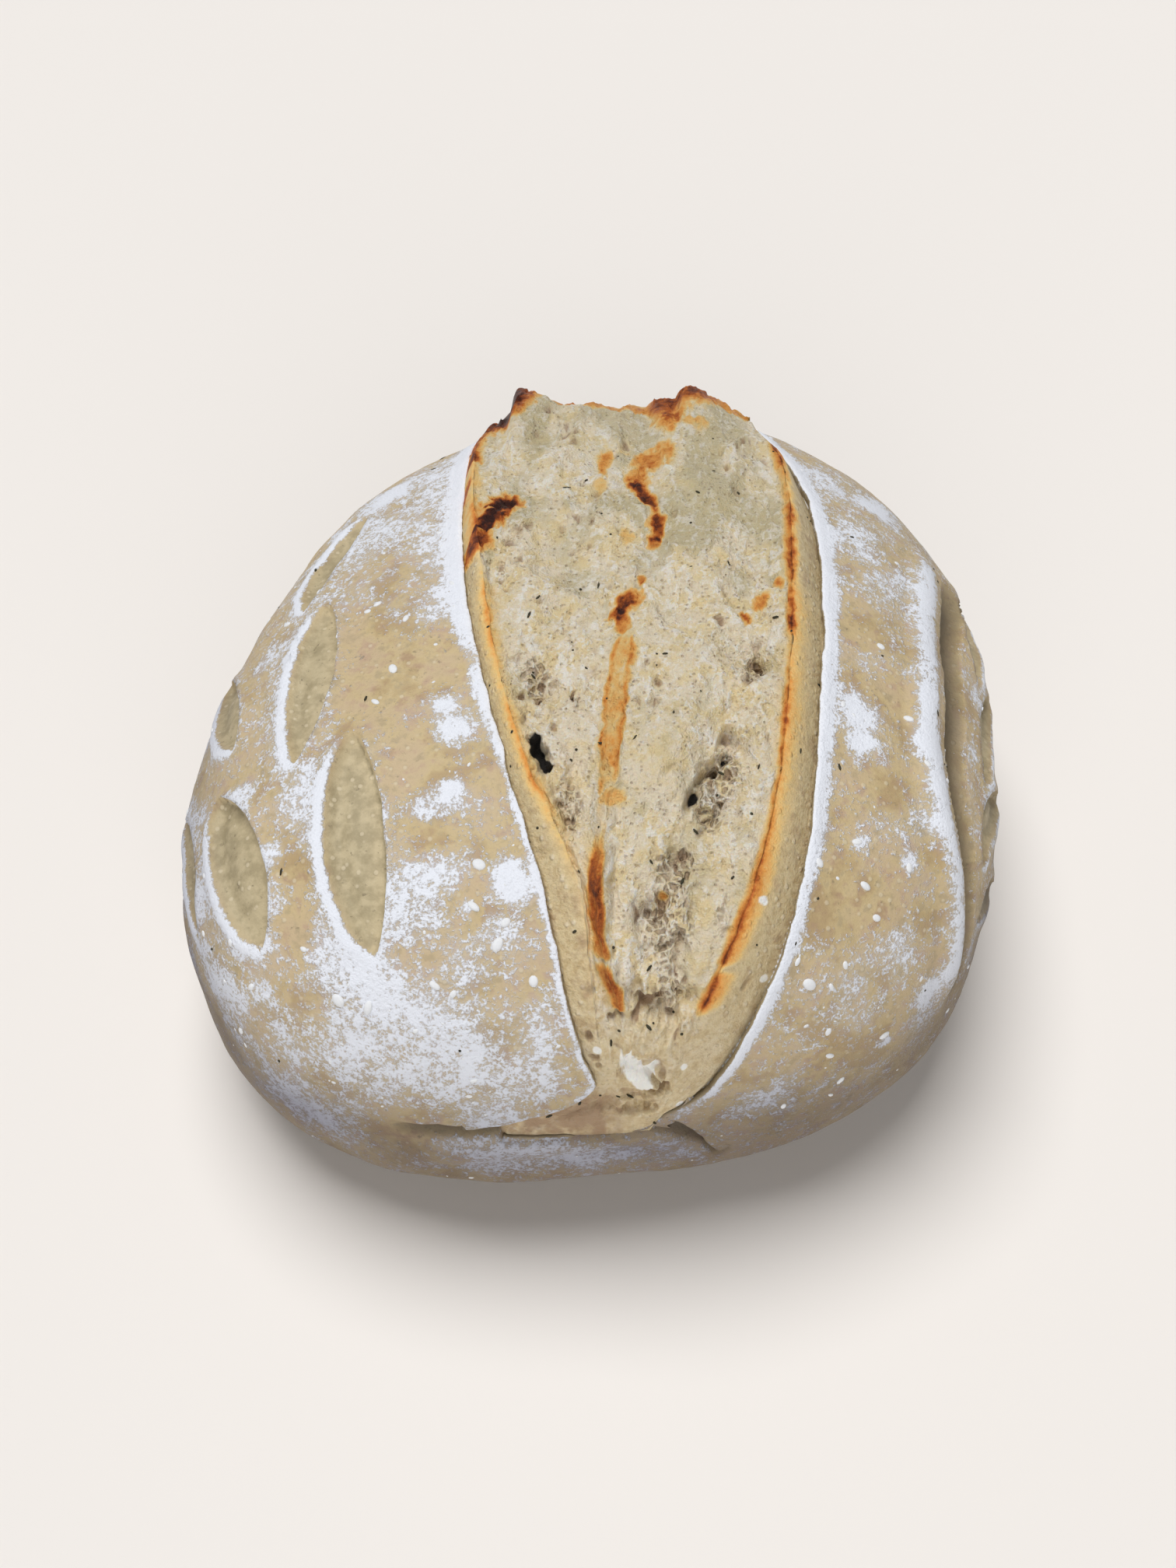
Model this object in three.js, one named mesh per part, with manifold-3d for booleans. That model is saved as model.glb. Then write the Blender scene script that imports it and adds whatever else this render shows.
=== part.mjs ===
// A scored sourdough loaf: a full round dome whose long cut has burst open into a raised slab of torn crumb,
// with rows of leaf-shaped cuts down both shoulders and torn folds at the foot of the burst.
// Millimetres, +Z up. The loaf stands on its flat base, the burst runs from the front (-Y) over the top to the back.
import * as THREE from "three";
import { mergeVertices } from "three/addons/utils/BufferGeometryUtils.js";
import Module from "manifold-3d";

const wasm = await Module();
wasm.setup();

// ---- Driving dimensions ----

const HALF_WIDTH = 112; // across X at the girth, before the waves of the outline
const HALF_LENGTH = 118; // along Y at the girth
const HEIGHT = 118; // crust height above the base, beside the burst
const GIRTH_HEIGHT = 40; // the loaf is widest here
const DOME_FULLNESS = 2.8; // superellipse power above the girth: 2 is round, more is fuller
const UNDERSIDE_FULLNESS = 3.4; // the same below the girth
const BASE_LIFT = 1.6; // the underside is pressed flat this far up

// How the outline seen from above departs from an oval: [waves round, cosine share, sine share].
const PLAN_WAVES = [
  [1, 0.036, 0.076],
  [2, 0, 0.06],
  [3, -0.006, -0.035],
  [4, -0.027, 0],
];

// The dome's rows of points, as degrees above the girth: close together over the shoulder and the turn to the base.
const DOME_ROWS = [
  90, 80, 71, 63, 56, 50, 44.5, 39.5, 35, 30.5, 26, 21, 15, 8.5, 2, -4, -8, -11.5, -14.5, -17.2, -20, -23, -27, -32, -38, -90,
];
const DOME_ROUND = 62; // points in each row

// ---- The crust as a distance from the girth's centre ----

// The outline's radius, as a share of the plain oval's, at an angle round +Z from +X.
function planShare(angle) {
  return PLAN_WAVES.reduce(
    (sum, [waves, cosShare, sinShare]) => sum + cosShare * Math.cos(waves * angle) + sinShare * Math.sin(waves * angle),
    1,
  );
}

// Soft unevenness of hand-shaped dough, as a share of the distance.
function dimpleShare(direction) {
  const { x, y, z } = direction;
  return 0.005 * Math.sin(5 * x + 2 * y + 1) * Math.cos(4 * y - 3 * z) + 0.003 * Math.sin(9 * x - 7 * z + 3 * y);
}

// Distance from the girth's centre to the crust along a unit direction.
function crustDistance(direction) {
  const { x, y, z } = direction;
  const upper = z > 0;
  const reach = upper ? HEIGHT - GIRTH_HEIGHT : GIRTH_HEIGHT;
  const power = upper ? DOME_FULLNESS : UNDERSIDE_FULLNESS;
  const across = Math.hypot(x / HALF_WIDTH, y / HALF_LENGTH) / planShare(Math.atan2(y, x));
  const distance = (across ** power + Math.abs(z / reach) ** power) ** (-1 / power);
  return distance * (1 + dimpleShare(direction));
}

// The point that stands `offset` proud of the crust along a direction, never below the pressed base.
function pointOnCrust(direction, offset = 0) {
  const point = direction.clone().multiplyScalar(crustDistance(direction) + offset);
  point.z = Math.max(point.z + GIRTH_HEIGHT, BASE_LIFT);
  return point;
}

// ---- Helpers that make closed solids ----

// A manifold-3d solid of a closed geometry.
function solidOf(geometry) {
  geometry.deleteAttribute("normal");
  geometry.deleteAttribute("uv");
  const merged = mergeVertices(geometry, 1e-3);
  return new wasm.Manifold(
    new wasm.Mesh({
      numProp: 3,
      vertProperties: merged.attributes.position.array,
      triVerts: new Uint32Array(merged.index.array),
    }),
  );
}

// A three.js geometry of a manifold-3d solid.
function geometryOf(solid) {
  const mesh = solid.getMesh();
  const geometry = new THREE.BufferGeometry();
  geometry.setAttribute("position", new THREE.BufferAttribute(new Float32Array(mesh.vertProperties), 3));
  geometry.setIndex(new THREE.BufferAttribute(new Uint32Array(mesh.triVerts), 1));
  return geometry;
}

// A closed body from rings of equal length, each running the same way round, with both ends capped by a fan.
function solidOfRings(rings) {
  const size = rings[0].length;
  const positions = rings.flat();
  const indices = [];
  for (let ring = 0; ring + 1 < rings.length; ring++) {
    for (let i = 0; i < size; i++) {
      const here = ring * size + i;
      const beside = ring * size + ((i + 1) % size);
      indices.push(here, beside, here + size, beside, beside + size, here + size);
    }
  }
  for (const [ring, flip] of [
    [0, true],
    [rings.length - 1, false],
  ]) {
    const middle = new THREE.Vector3();
    rings[ring].forEach((point) => middle.addScaledVector(point, 1 / size));
    const hub = positions.push(middle) - 1;
    for (let i = 0; i < size; i++) {
      const here = ring * size + i;
      const beside = ring * size + ((i + 1) % size);
      indices.push(hub, flip ? beside : here, flip ? here : beside);
    }
  }
  const geometry = new THREE.BufferGeometry().setFromPoints(positions);
  geometry.setIndex(indices);
  const solid = solidOf(geometry);
  if (solid.volume() > 0) return solid;
  for (let i = 0; i < indices.length; i += 3) [indices[i + 1], indices[i + 2]] = [indices[i + 2], indices[i + 1]];
  geometry.setIndex(indices);
  return solidOf(geometry);
}

// A smooth curve through rows of [place, value], read at any place.
function smoothThrough(rows, place) {
  const last = rows.length - 1;
  if (place <= rows[0][0]) return rows[0][1];
  if (place >= rows[last][0]) return rows[last][1];
  const i = rows.findIndex((row) => row[0] > place) - 1;
  const span = rows[i + 1][0] - rows[i][0];
  const slope = (a, b) => (rows[b][1] - rows[a][1]) / (rows[b][0] - rows[a][0]);
  const startSlope = slope(Math.max(i - 1, 0), i + 1);
  const endSlope = slope(i, Math.min(i + 2, last));
  const t = (place - rows[i][0]) / span;
  const rise = t * t * (3 - 2 * t);
  return (
    rows[i][1] * (1 - rise) +
    rows[i + 1][1] * rise +
    span * (t * (1 - t) ** 2 * startSlope - t * t * (1 - t) * endSlope)
  );
}

// A repeatable uneven value from -1 to 1 at a pair of whole numbers.
function crag(i, j) {
  const value = Math.sin(i * 12.9898 + j * 78.233) * 43758.5453;
  return 2 * (value - Math.floor(value)) - 1;
}

// ---- The burst slab ----
// Places on it are an angle up from the front, round an axle across the loaf at girth height, and a distance along X.
// Each curve below is [angle in degrees, millimetres].

const SLAB_ANGLES = { front: 3, crown: 149, back: 162 };
const SLAB_STEPS = { crumb: 38, behind: 4 };
const LEFT_SKIN = [[3, 1], [15, -0.5], [28, -3.5], [45, -10.5], [65, -20], [95, -29.5], [125, -33], [150, -31], [162, -20]];
const LEFT_RIM = [[3, 4], [15, 2], [30, 1.5], [44, -2.5], [53, -8], [65, -16], [95, -27], [125, -31], [150, -29.5], [162, -17]];
const CENTRE_RIDGE = [[3, 9], [20, 9], [30, 7], [36, 3.5], [45, 2], [58, 4.5], [75, 7], [96, 11], [125, 14], [162, 12]];
const RIGHT_RIM = [[3, 14], [15, 21], [28, 27.5], [42, 36], [55, 41.5], [72, 46], [95, 50.5], [125, 53], [146, 48.5], [162, 34]];
const RIGHT_SKIN = [[3, 17], [9, 24.5], [16, 31], [30, 40], [42, 47], [56, 53], [74, 57], [98, 59.5], [123, 58.5], [150, 50], [162, 37]];

const LEFT_RIM_RISE = [[3, 0.2], [28, 0.8], [45, 2.4], [65, 3.6], [95, 4.6], [125, 6], [162, 6]];
const RIGHT_RIM_RISE = [[3, 0.2], [20, 0.8], [28, 2.6], [45, 4.2], [65, 5.2], [95, 6], [125, 7], [162, 7]];
const CENTRE_RISE = [[3, 0.4], [24, 0.2], [30, 2.6], [45, 4.6], [80, 4.8], [98, 3.8], [110, 1.8], [162, 1.8]];
const CRUMB_SAG = [[3, 0], [22, 0.2], [34, 2.6], [60, 3.6], [95, 2.8], [125, 2], [162, 0.6]];

// The torn crown at the far end, from rim to rim: [X, height above the crust].
const CROWN = [
  [-29.5, 3.6], [-23.5, 3.6], [-20, 10], [-13.5, 6.4], [0, 3], [13, 1.8], [22, 4.4], [28, 8], [32, 11.8], [38, 9], [47, 3],
];

const SLAB_DEPTH = 13; // how far the slab reaches down into the loaf
const SKIN_LIP = { rise: 1.5, width: 7 }; // the skin curls up along both sides of the burst
const SEAM_DEPTH = 1.3; // between a lip and the side of the slab
const CRUMB_PIECES = 5; // steps across the crumb on each side of the centre ridge
const CRAG_HEIGHT = 0.55;

// The point above the crust at an angle up from the front and a distance along X.
function pointOnBurst(degrees, x, rise) {
  const angle = THREE.MathUtils.degToRad(degrees);
  let near = 0;
  let far = 2 * HALF_LENGTH;
  for (let halving = 0; halving < 30; halving++) {
    const reach = (near + far) / 2;
    const point = new THREE.Vector3(x, -reach * Math.cos(angle), reach * Math.sin(angle));
    const outside = point.length() > crustDistance(point.clone().normalize());
    if (outside) far = reach;
    else near = reach;
  }
  const reach = near + rise;
  return new THREE.Vector3(x, -reach * Math.cos(angle), reach * Math.sin(angle) + GIRTH_HEIGHT);
}

// One cross-section of the slab, as a closed ring of points.
function slabRing(degrees, step) {
  const { lerp, smoothstep } = THREE.MathUtils;
  const read = (curve) => smoothThrough(curve, degrees);
  const [leftSkin, leftRim, centre, rightRim, rightSkin] = [
    LEFT_SKIN, LEFT_RIM, CENTRE_RIDGE, RIGHT_RIM, RIGHT_SKIN,
  ].map(read);
  const [leftRise, rightRise, centreRise, sag] = [LEFT_RIM_RISE, RIGHT_RIM_RISE, CENTRE_RISE, CRUMB_SAG].map(read);
  const lip = SKIN_LIP.rise * smoothstep(degrees, 3, 20);
  const seam = (skin, rim) => skin + 0.22 * (rim - skin);
  const left = [
    [leftSkin - SKIN_LIP.width, -3],
    [leftSkin - 0.35 * SKIN_LIP.width, lip],
    [leftSkin, lip * 0.6],
    [seam(leftSkin, leftRim), -SEAM_DEPTH],
    [lerp(leftSkin, leftRim, 0.62), leftRise * 0.5],
    [leftRim, leftRise],
  ];
  const right = [
    [rightRim, rightRise],
    [lerp(rightSkin, rightRim, 0.62), rightRise * 0.5],
    [seam(rightSkin, rightRim), -SEAM_DEPTH],
    [rightSkin, lip * 0.6],
    [rightSkin + 0.35 * SKIN_LIP.width, lip],
    [rightSkin + SKIN_LIP.width, -3],
  ];
  const crumb = (from, to, riseFrom, riseTo, salt) =>
    Array.from({ length: CRUMB_PIECES - 1 }, (_, piece) => {
      const t = (piece + 1) / CRUMB_PIECES;
      const dip = sag * Math.sin(Math.PI * t) ** 0.6;
      const rough = CRAG_HEIGHT * crag(step, piece + salt) * Math.min(1, sag);
      return [lerp(from, to, t), lerp(riseFrom, riseTo, t) - dip + rough];
    });
  const profile = [
    ...left,
    ...crumb(leftRim, centre, leftRise, centreRise, 0),
    [centre, centreRise],
    ...crumb(centre, rightRim, centreRise, rightRise, 20),
    ...right,
  ];
  // Towards the crown the crumb climbs to the torn edge, and behind it the slab falls back under the skin.
  const climb = smoothstep(degrees, SLAB_ANGLES.crown - 20, SLAB_ANGLES.crown);
  const fall = smoothstep(degrees, SLAB_ANGLES.crown + 1, SLAB_ANGLES.back - 3);
  const surface = profile.map(([x, rise], i) => {
    const torn = CROWN[i - left.length + 1];
    const [crownX, crownRise] = torn ?? [x, rise];
    return pointOnBurst(degrees, lerp(x, crownX, climb), lerp(lerp(rise, crownRise, climb), -3, fall));
  });
  const inset = (rightSkin - leftSkin) * 0.2;
  const under = [
    pointOnBurst(degrees, rightSkin - inset, -SLAB_DEPTH),
    pointOnBurst(degrees, leftSkin + inset, -SLAB_DEPTH),
  ];
  return [...surface, ...under];
}

function burstSlab() {
  const { front, crown, back } = SLAB_ANGLES;
  const { crumb, behind } = SLAB_STEPS;
  const rings = [];
  for (let step = 0; step <= crumb + behind; step++) {
    const past = Math.max(0, step - crumb);
    const degrees = past > 0 ? crown + (past / behind) * (back - crown) : front + (step / crumb) * (crown - front);
    rings.push(slabRing(degrees, step));
  }
  return solidOfRings(rings);
}

// ---- Cuts and folds that follow the crust ----
// Each runs along a trail of [azimuth from the front towards +X, elevation above the girth], both in degrees.

function directionAt([azimuth, elevation]) {
  const [a, e] = [azimuth, elevation].map(THREE.MathUtils.degToRad);
  return new THREE.Vector3(Math.sin(a) * Math.cos(e), -Math.cos(a) * Math.cos(e), Math.sin(e));
}

const leafShare = (s) => Math.max(0.04, (1 - s * s) ** 0.62);

// A pillow hugging the crust along a trail. Both faces stand off the crust by functions of s, from end to end, and
// t, from side to side, each from -1 to 1.
function pillow({ trail, width }, over, under, [longSteps, wideSteps]) {
  const path = new THREE.CatmullRomCurve3(trail.map(directionAt));
  const rings = [];
  for (let i = 0; i <= longSteps; i++) {
    const s = -Math.cos((Math.PI * i) / longSteps);
    const u = (1 + s) / 2;
    const middle = path.getPointAt(u).normalize();
    const across = path.getTangentAt(u).cross(middle).normalize();
    const reach = ((width / 2) * leafShare(s)) / crustDistance(middle);
    const place = (j) => {
      const t = -1 + (2 * j) / wideSteps;
      return [t, middle.clone().addScaledVector(across, t * reach).normalize()];
    };
    const ring = [];
    for (let j = 0; j <= wideSteps; j++) {
      const [t, direction] = place(j);
      ring.push(pointOnCrust(direction, over(s, t)));
    }
    for (let j = wideSteps; j >= 0; j--) {
      const [t, direction] = place(j);
      ring.push(pointOnCrust(direction, under(s, t)));
    }
    rings.push(ring);
  }
  return solidOfRings(rings);
}

const LEAF_LIP = 1.2; // a cut's edges lift this much
const LIP_SPREAD = 10; // and the lift fades out within half this distance
const LIP_ROOT = 3; // every lip starts this far under the crust, so that it leaves it at a clear angle

// The trail of a leaf's raised lip reaches past the leaf's own ends by this share.
function longer(trail, share) {
  const [from, to] = [trail[0], trail[trail.length - 1]];
  const past = (end, other) => end.map((angle, axis) => angle + (angle - other[axis]) * share);
  return [past(from, to), ...trail.slice(1, -1), past(to, from)];
}

function leafLip(leaf) {
  const rise = (s, t) => (2 * LEAF_LIP + LIP_ROOT) * Math.max(0, 1 - s ** 6) * (1 - t * t) - LIP_ROOT;
  return pillow({ trail: longer(leaf.trail, 0.12), width: leaf.width + LIP_SPREAD }, rise, () => -6, [8, 4]);
}

function leafCut({ trail, width, depth }) {
  const floor = (s, t) => LEAF_LIP - (depth + LEAF_LIP) * (1 - t ** 4) * Math.max(0, 1 - s ** 6);
  return pillow({ trail, width }, () => 12, floor, [10, 4]);
}

// Left shoulder: two rows of leaf cuts, as a wheat ear has them.
const LEFT_LEAVES = [
  { trail: [[-71, 28], [-57, 28], [-46.5, 24]], width: 19, depth: 2.6 },
  { trail: [[-65.5, 49], [-44, 40.5], [-31.5, 30.5]], width: 18, depth: 2.8 },
  { trail: [[-108, 43], [-84, 44.5], [-65.5, 40.5]], width: 15, depth: 2.6 },
  { trail: [[-136, 34], [-120, 36.5], [-106, 39]], width: 11, depth: 2.2 },
  { trail: [[-99, 23], [-85, 29.5], [-78, 31.5]], width: 13, depth: 2 },
  { trail: [[-78, 16], [-68, 19], [-58, 16]], width: 11, depth: 1.8 },
];

// Right shoulder: a long lip with a row of cuts below it, which scallops the side's outline.
const RIGHT_LIP = { trail: [[122, 19], [108, 27], [93, 30.5], [76, 29.5], [63, 23.5], [58, 13], [57, 2]], width: 13 };
const RIGHT_LIP_RISE = 2.2;
const RIGHT_LEAVES = [
  { trail: [[121, 14], [109, 22], [97, 24.5]], width: 15, depth: 3.2 },
  { trail: [[100, 18], [89, 23.5], [79, 24]], width: 14, depth: 3.2 },
  { trail: [[84, 15], [75, 21], [67, 20]], width: 14, depth: 3.2 },
  { trail: [[75, 5], [67, 12.5], [61, 14]], width: 13, depth: 3 },
];

const FOOT_TEARS = [
  { trail: [[2, 15.5], [-3, 10.5], [-9, 7.5], [-17, 5]], width: 4.5, depth: 3.4 },
  { trail: [[8, 7], [14, 2.5], [19.5, -6]], width: 4.5, depth: 3 },
];
const FOOT_FLAP = { trail: [[-24, 0], [-12, 3], [0, 4], [9, 4], [15, -2]], width: 15 };
const FOOT_FLAP_RISE = 1.6;
const FOOT_CRATERS = [
  { trail: [[10.5, 19], [5, 17.2]], width: 8, depth: 2.2 },
  { trail: [[9.5, 11.5], [4, 11]], width: 6, depth: 1.6 },
];

// Torn holes in the crumb, and the hollow at its foot.
const CRUMB_HOLES = [
  { trail: [[-20, 64.5], [-12, 60.5]], width: 5, depth: 2.6 },
  { trail: [[42, 60.5], [34, 57]], width: 8, depth: 1.6 },
  { trail: [[4, 29], [12, 27]], width: 7, depth: 2.6 },
];

function ridgeAlong(place, rise) {
  const crest = (s, t) => (rise + LIP_ROOT) * Math.max(0, 1 - s ** 6) * (1 - t * t) - LIP_ROOT;
  return pillow(place, crest, () => -6, [14, 4]);
}

// ---- The whole loaf ----

function dome() {
  const geometry = new THREE.SphereGeometry(1, DOME_ROUND, DOME_ROWS.length - 1);
  geometry.rotateX(Math.PI / 2);
  const positions = geometry.attributes.position;
  for (let i = 0; i < positions.count; i++) {
    const row = Math.floor(i / (DOME_ROUND + 1));
    const azimuth = ((i % (DOME_ROUND + 1)) / DOME_ROUND) * 360;
    const point = pointOnCrust(directionAt([azimuth, DOME_ROWS[row]]));
    positions.setXYZ(i, point.x, point.y, point.z);
  }
  return solidOf(geometry);
}

function loafSolid() {
  let loaf = dome();
  const leaves = [...LEFT_LEAVES, ...RIGHT_LEAVES];
  for (const leaf of leaves) loaf = loaf.add(leafLip(leaf));
  loaf = loaf.add(ridgeAlong(RIGHT_LIP, RIGHT_LIP_RISE)).add(ridgeAlong(FOOT_FLAP, FOOT_FLAP_RISE));
  for (const leaf of leaves) loaf = loaf.subtract(leafCut(leaf));
  loaf = loaf.add(burstSlab());
  for (const cut of [...FOOT_TEARS, ...FOOT_CRATERS, ...CRUMB_HOLES]) loaf = loaf.subtract(leafCut(cut));
  return loaf;
}

// The finished solid with the middle of its base at the origin.
function placed(solid) {
  const { min, max } = solid.boundingBox();
  return solid.translate([-(min[0] + max[0]) / 2, -(min[1] + max[1]) / 2, -min[2]]);
}

const crustMaterial = new THREE.MeshStandardMaterial({ color: 0xcdb48c, roughness: 0.85, metalness: 0 });
const loaf = new THREE.Mesh(geometryOf(placed(loafSolid())), crustMaterial);
loaf.name = "loaf";

const part = new THREE.Group();
part.add(loaf);

export default part;
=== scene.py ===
"""The looks of a scored sourdough loaf.

A floured crust with leaf cuts, curled skin round the long burst, torn crumb with browned edges inside it,
herb flecks and drops of flour. Shapes are worked out in millimetres round the middle of the loaf's girth,
with X to the right, the front towards -Y and +Z up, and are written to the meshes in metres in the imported
model's frame.
"""

import logging
import math
from dataclasses import dataclass
from enum import Enum
from typing import Any, Callable, Sequence

import bpy
import numpy as np
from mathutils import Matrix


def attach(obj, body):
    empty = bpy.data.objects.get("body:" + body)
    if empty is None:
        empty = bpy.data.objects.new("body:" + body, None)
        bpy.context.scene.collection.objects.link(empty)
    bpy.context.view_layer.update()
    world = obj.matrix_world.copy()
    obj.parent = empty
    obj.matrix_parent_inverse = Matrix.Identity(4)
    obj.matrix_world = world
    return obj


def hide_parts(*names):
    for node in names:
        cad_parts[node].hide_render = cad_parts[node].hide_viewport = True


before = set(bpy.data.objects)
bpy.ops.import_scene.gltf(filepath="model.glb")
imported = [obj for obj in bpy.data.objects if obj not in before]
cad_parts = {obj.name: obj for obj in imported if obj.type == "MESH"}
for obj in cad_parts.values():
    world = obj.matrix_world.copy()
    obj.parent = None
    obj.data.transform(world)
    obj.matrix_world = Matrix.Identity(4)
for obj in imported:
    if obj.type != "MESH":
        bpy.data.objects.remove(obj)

LOG = logging.getLogger("loaf")
METRE = 1000.0  # millimetres in a metre
NODE = "loaf"
BODY = "root"
HALVINGS = 24  # steps by which the crust is found along a line, to less than a thousandth of a millimetre
TINY = 1e-9  # keeps a length that is divided by above zero

Rows = Sequence[tuple[float, float]]
Array = np.ndarray


# ---- Curves and uneven fields ----


def smooth_through(rows: Rows, place: Array) -> Array:
    """Reads a smooth curve through rows of (place, value).

    Args:
        rows: Places in rising order, each with its value.
        place: Where the curve is read.

    Returns:
        The curve's value at each place, level beyond both ends.
    """
    knots, values = (np.array(column, float) for column in zip(*rows))
    last = len(knots) - 1
    at = np.clip(np.asarray(place, float), knots[0], knots[-1])
    i = np.clip(np.searchsorted(knots, at, side="right") - 1, 0, last - 1)
    before, after = np.maximum(i - 1, 0), np.minimum(i + 2, last)
    span = knots[i + 1] - knots[i]
    start = (values[i + 1] - values[before]) / (knots[i + 1] - knots[before])
    end = (values[after] - values[i]) / (knots[after] - knots[i])
    t = (at - knots[i]) / span
    rise = t * t * (3 - 2 * t)
    bend = span * (t * (1 - t) ** 2 * start - t * t * (1 - t) * end)
    return values[i] * (1 - rise) + values[i + 1] * rise + bend


def ease(value: Array, low: float, high: float) -> Array:
    """Goes smoothly from 0 at low to 1 at high."""
    t = np.clip((np.asarray(value, float) - low) / (high - low), 0, 1)
    return t * t * (3 - 2 * t)


def between(value: Array, low: float, full: float, fade: float, gone: float) -> Array:
    """Goes smoothly up from 0 to 1 between low and full, and back down between fade and gone."""
    return ease(value, low, full) * ease(-value, -gone, -fade)


def mix(first: Array, second: Array, share: Array) -> Array:
    """Goes straight from the first value to the second."""
    return first + (second - first) * share


def unit(vectors: Array) -> Array:
    """Vectors of length one."""
    return vectors / np.linalg.norm(vectors, axis=-1, keepdims=True)


def lattice(cell: Array, seed: int) -> Array:
    """Repeatable uneven values from 0 to 1 at whole-number places.

    Args:
        cell: Whole-number places, three to a row.
        seed: Picks one of many patterns.

    Returns:
        One value for each place.
    """
    mask = 0xFFFFFFFF
    mixed = cell[..., 0] * 374761393 + cell[..., 1] * 668265263 + cell[..., 2] * 1440662683
    mixed = mixed + seed * 362437 & mask
    mixed = (mixed ^ mixed >> 13) * 1274126177 & mask
    mixed = (mixed ^ mixed >> 16) * 1103515245 & mask
    return (mixed ^ mixed >> 15) / mask


# Turns the fields' cells away from the loaf's axes.
TURN = np.linalg.qr(np.array([[0.8, 0.3, -0.5], [-0.2, 0.9, 0.4], [0.6, -0.3, 0.75]]))[0]


def swell(points: Array, size: float, seed: int) -> Array:
    """A soft uneven field.

    Args:
        points: Places in millimetres.
        size: How far apart its hills stand.
        seed: Picks one of many patterns.

    Returns:
        Values from -1 to 1.
    """
    at = points @ TURN / size
    cell = np.floor(at).astype(np.int64)
    t = at - cell
    t = t * t * t * (t * (6 * t - 15) + 10)
    total = np.zeros(len(points))
    for corner in np.ndindex(2, 2, 2):
        weight = np.prod(np.where(corner, t, 1 - t), axis=-1)
        total += weight * lattice(cell + np.array(corner), seed)
    return 2 * total - 1


def rough(points: Array, size: float, seed: int, layers: int = 3) -> Array:
    """An uneven field with finer and finer layers, from about -1 to 1."""
    heights = [0.55**n * swell(points, size / 2.1**n, seed + 17 * n) for n in range(layers)]
    return np.sum(heights, axis=0) / sum(0.55**n for n in range(layers))


def bubbles(points: Array, size: float, seed: int) -> tuple[Array, Array, Array]:
    """Scatters bubble middles, one in each cell, and measures how near they are.

    Args:
        points: Places in millimetres.
        size: The cells' size.
        seed: Picks one of many patterns.

    Returns:
        The distance to the nearest middle and to the next one, as shares of size, and an uneven value from
        0 to 1 that belongs to the nearest bubble.
    """
    at = points @ TURN / size
    cell = np.floor(at).astype(np.int64)
    nearest = np.full(len(points), 9.0)
    second = np.full(len(points), 9.0)
    own = np.zeros(len(points))
    for step in np.ndindex(3, 3, 3):
        other = cell + np.array(step) - 1
        middle = other + np.stack([lattice(other, seed + axis) for axis in range(3)], axis=-1)
        distance = np.linalg.norm(at - middle, axis=-1)
        closer = distance < nearest
        second = np.where(closer, nearest, np.minimum(second, distance))
        own = np.where(closer, lattice(other, seed + 3), own)
        nearest = np.where(closer, distance, nearest)
    return nearest, second, own


# ---- The loaf's form ----


def heading(azimuth: Array, elevation: Array) -> Array:
    """The direction at an azimuth from the front towards +X and an elevation above the girth, in degrees."""
    a, e = np.radians(azimuth), np.radians(elevation)
    return np.stack([np.sin(a) * np.cos(e), -np.cos(a) * np.cos(e), np.sin(e) * np.ones_like(a)], axis=-1)


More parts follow.
